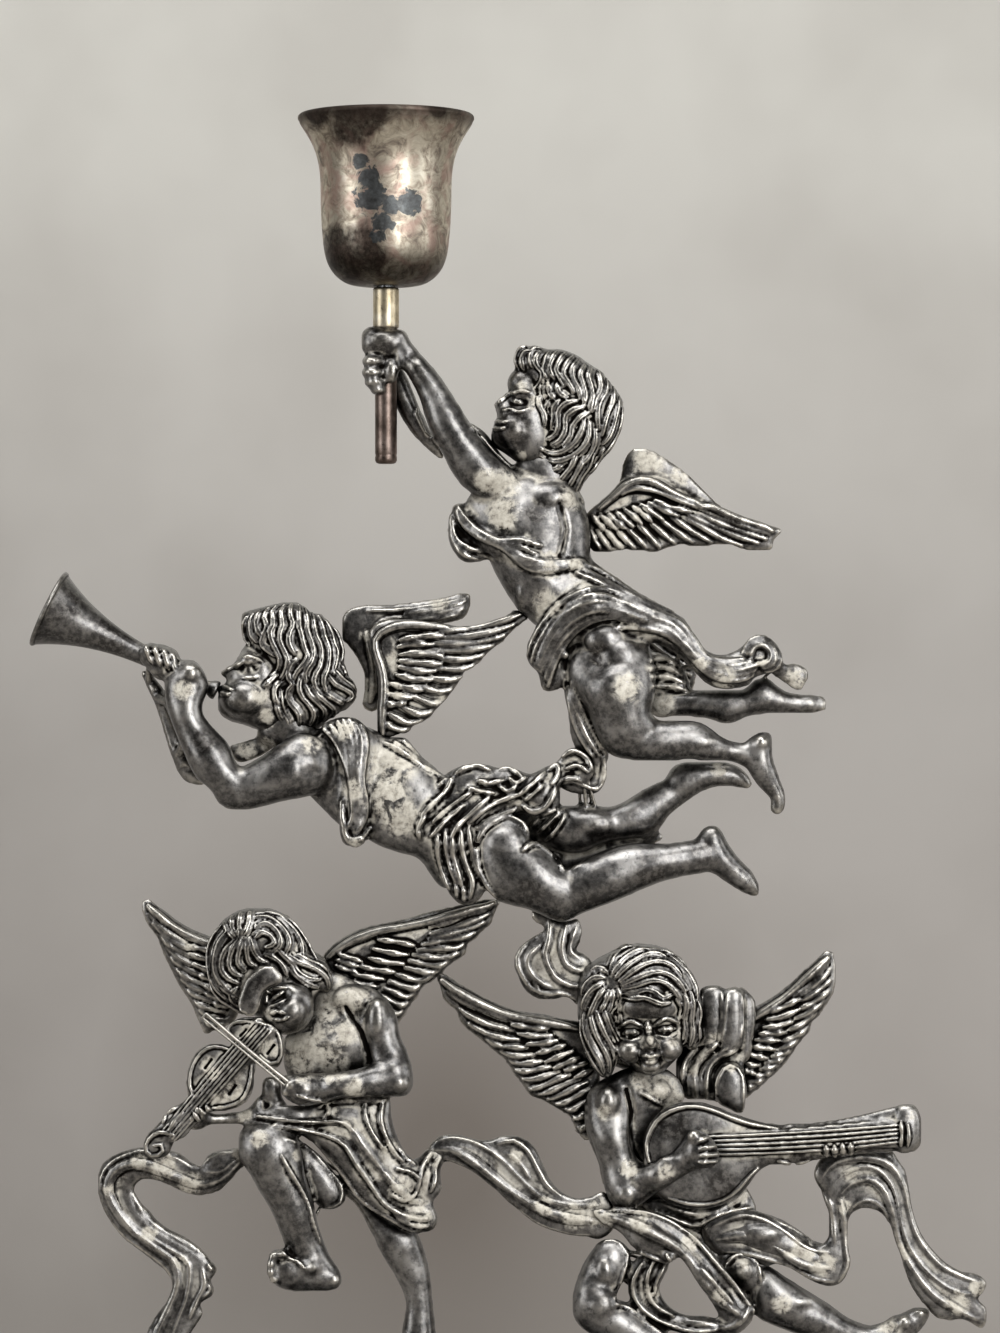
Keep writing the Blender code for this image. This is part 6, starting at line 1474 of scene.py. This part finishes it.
def clouds():
    """The cloud mound: rounded billows, each with a swirl cut in its face, cut off flat underneath."""
    parts, lines = [], []
    for (across, height), (half_width, half_height) in MOUND_LUMPS:
        for relief in (-MOUND_DEPTH, MOUND_DEPTH):
            parts.append(ball((across, height, relief), (half_width, half_height, MOUND_HALF)))
        swirl = []
        for k in range(13):
            share = 0.78 - 0.055 * k
            angle = 0.55 * k + across
            swirl.append((across + half_width * share * math.cos(angle),
                          height + half_height * share * math.sin(angle)))
        lines.append(swirl)
    parts.append(strands([[(-30, -11, 0, 12), (30, -11, 0, 12)]]))
    mound = fused("cloud_mound", parts, 0.6)
    rolls = strands(laid(skin(mound), lines, 0.85, 0.1))
    mound = fused("cloud_mound", [mound, rolls], 0.42)
    bpy.ops.object.mode_set(mode="EDIT")
    bpy.ops.mesh.select_all(action="SELECT")
    bpy.ops.mesh.bisect(plane_co=(0, MOUND_FLOOR, 0), plane_no=(0, 1, 0), use_fill=True, clear_inner=True)
    bpy.ops.object.mode_set(mode="OBJECT")
    return mound


# Assembly

FIGURES = ("torch", "trumpet", "violin", "lute")
WINGS = ("torch_near", "torch_far", "trumpet_near", "trumpet_far", "violin_left", "violin_right", "lute_left",
         "lute_right")
RIBBONS = ("left_ribbon", "middle_ribbon", "right_ribbon", "crest_ribbon")

# Each casting's drawing, the grain of its skin and of the block under it in millimetres, the rounds of
# smoothing that the block gets, the piece's name and the node that it stands for.
CASTINGS = [
    *((f"{name}_body", FIGURE_GRAIN, 0.5, 4, f"{name}_cherub_body", f"{name}_cherub") for name in FIGURES),
    *((f"{name}_head", HEAD_GRAIN, 0.4, 3, f"{name}_cherub_head", f"{name}_cherub") for name in FIGURES),
    *((f"{wing}_wing", WING_GRAIN, 0.4, 2, f"{wing}_wing_feathers", wing.replace("_", "_cherub_") + "_wing")
      for wing in WINGS),
    *((ribbon, TRIM_GRAIN, 0.4, 3, f"{ribbon}_band", ribbon) for ribbon in RIBBONS),
    ("fiddle", 0.2, 0.35, 2, "violin_fiddle", "violin"),
    ("pear", 0.2, 0.35, 2, "lute_pear", "lute"),
    ("cloak", TRIM_GRAIN, 0.4, 2, "lute_cherub_cloak", "lute_cherub_mantle"),
]
HORN_TARNISH = "62,598,-30 112,634,-24"

silver, cup_silver, brass = cast_silver(), spun_silver(), worn_brass()
steel, iron, felt, board = zinc_plate(), cast_iron(), baize(), painted_wall()

for drawing, grain, coarse, rounds, name, node in CASTINGS:
    piece = casting(drawing, grain, coarse, rounds)
    set_up(piece, name, "stand", "silver_casting", silver, node, wear_and_light_marks=CREAM.get(drawing, ""))

set_up(horn(), "trumpet_horn", "stand", "silver_casting", silver, "trumpet", wear_and_light_marks=HORN_TARNISH)
set_up(bow_stick(), "violin_bow_stick", "stand", "silver_casting", silver, "violin_bow")
set_up(clouds(), "cloud_mound_billows", "stand", "silver_casting", silver, "cloud_mound")
set_up(spun_foot(), "foot_dome_spinning", "stand", "silver_casting", silver, "foot_dome")
set_up(turned_stem(), "torch_stem_rod", "stand", "worn_brass", brass, "torch_stem")
set_up(spun_cup(), "candle_cup_bell", "cup", "silver_cup", cup_silver, "candle_cup")

for name, material in (("foot_weight", iron), ("foot_felt", felt), ("cup_screw", steel),
                       ("foot_screw_1", steel), ("foot_screw_2", steel), ("foot_screw_3", steel)):
    for slot in bpy.data.objects[name].material_slots:
        slot.material = material


# Stage


def sheet(name, size, place, turn):
    """A square of board on the stage, turned about the line across the view."""
    bpy.ops.object.select_all(action="DESELECT")
    bpy.ops.mesh.primitive_plane_add(size=size, location=place, rotation=(turn, 0, 0))
    bpy.ops.object.transform_apply(location=True, rotation=True, scale=True)
    made = bpy.context.object
    made.name = name
    made.data.materials.append(board)


sheet("studio_floor", 4, (0, 0, 0), 0)
sheet("studio_backdrop", 6, (0, 0.34, 0), math.pi / 2)

world = bpy.data.worlds.new("room")
world.use_nodes = True
world.node_tree.nodes["Background"].inputs["Color"].default_value = hexed("#bdbbb8")
world.node_tree.nodes["Background"].inputs["Strength"].default_value = 0.13
bpy.context.scene.world = world


def soft_light(name, place, aim, width, height, watts):
    """A soft white box at place, turned to a height over the table's middle."""
    light = bpy.data.lights.new(name, "AREA")
    light.shape = "RECTANGLE"
    light.size = width
    light.size_y = height
    light.energy = watts
    obj = linked(name, light)
    obj.location = place
    obj.rotation_euler = (Vector((0, 0, aim)) - Vector(place)).to_track_quat("-Z", "Y").to_euler()


soft_light("window_light", (0.5, -1.0, 0.5), 0.17, 0.45, 0.9, 8.5)
soft_light("top_light", (-0.1, -0.3, 1.0), 0.15, 0.8, 0.5, 6)
soft_light("left_light", (-1.0, -0.55, 0.4), 0.17, 0.5, 0.9, 3.9)
soft_light("right_light", (1.0, -0.3, 0.35), 0.17, 0.5, 0.8, 2.6)

lens = bpy.data.cameras.new("view")
lens.sensor_fit = "VERTICAL"
lens.sensor_height = 36
lens.lens = 121.5
camera = linked("view", lens)
camera.location = (0, -0.9, 0.1867)
camera.rotation_euler = (math.pi / 2, 0, 0)
bpy.context.scene.camera = camera
bpy.context.scene.view_settings.view_transform = "Standard"
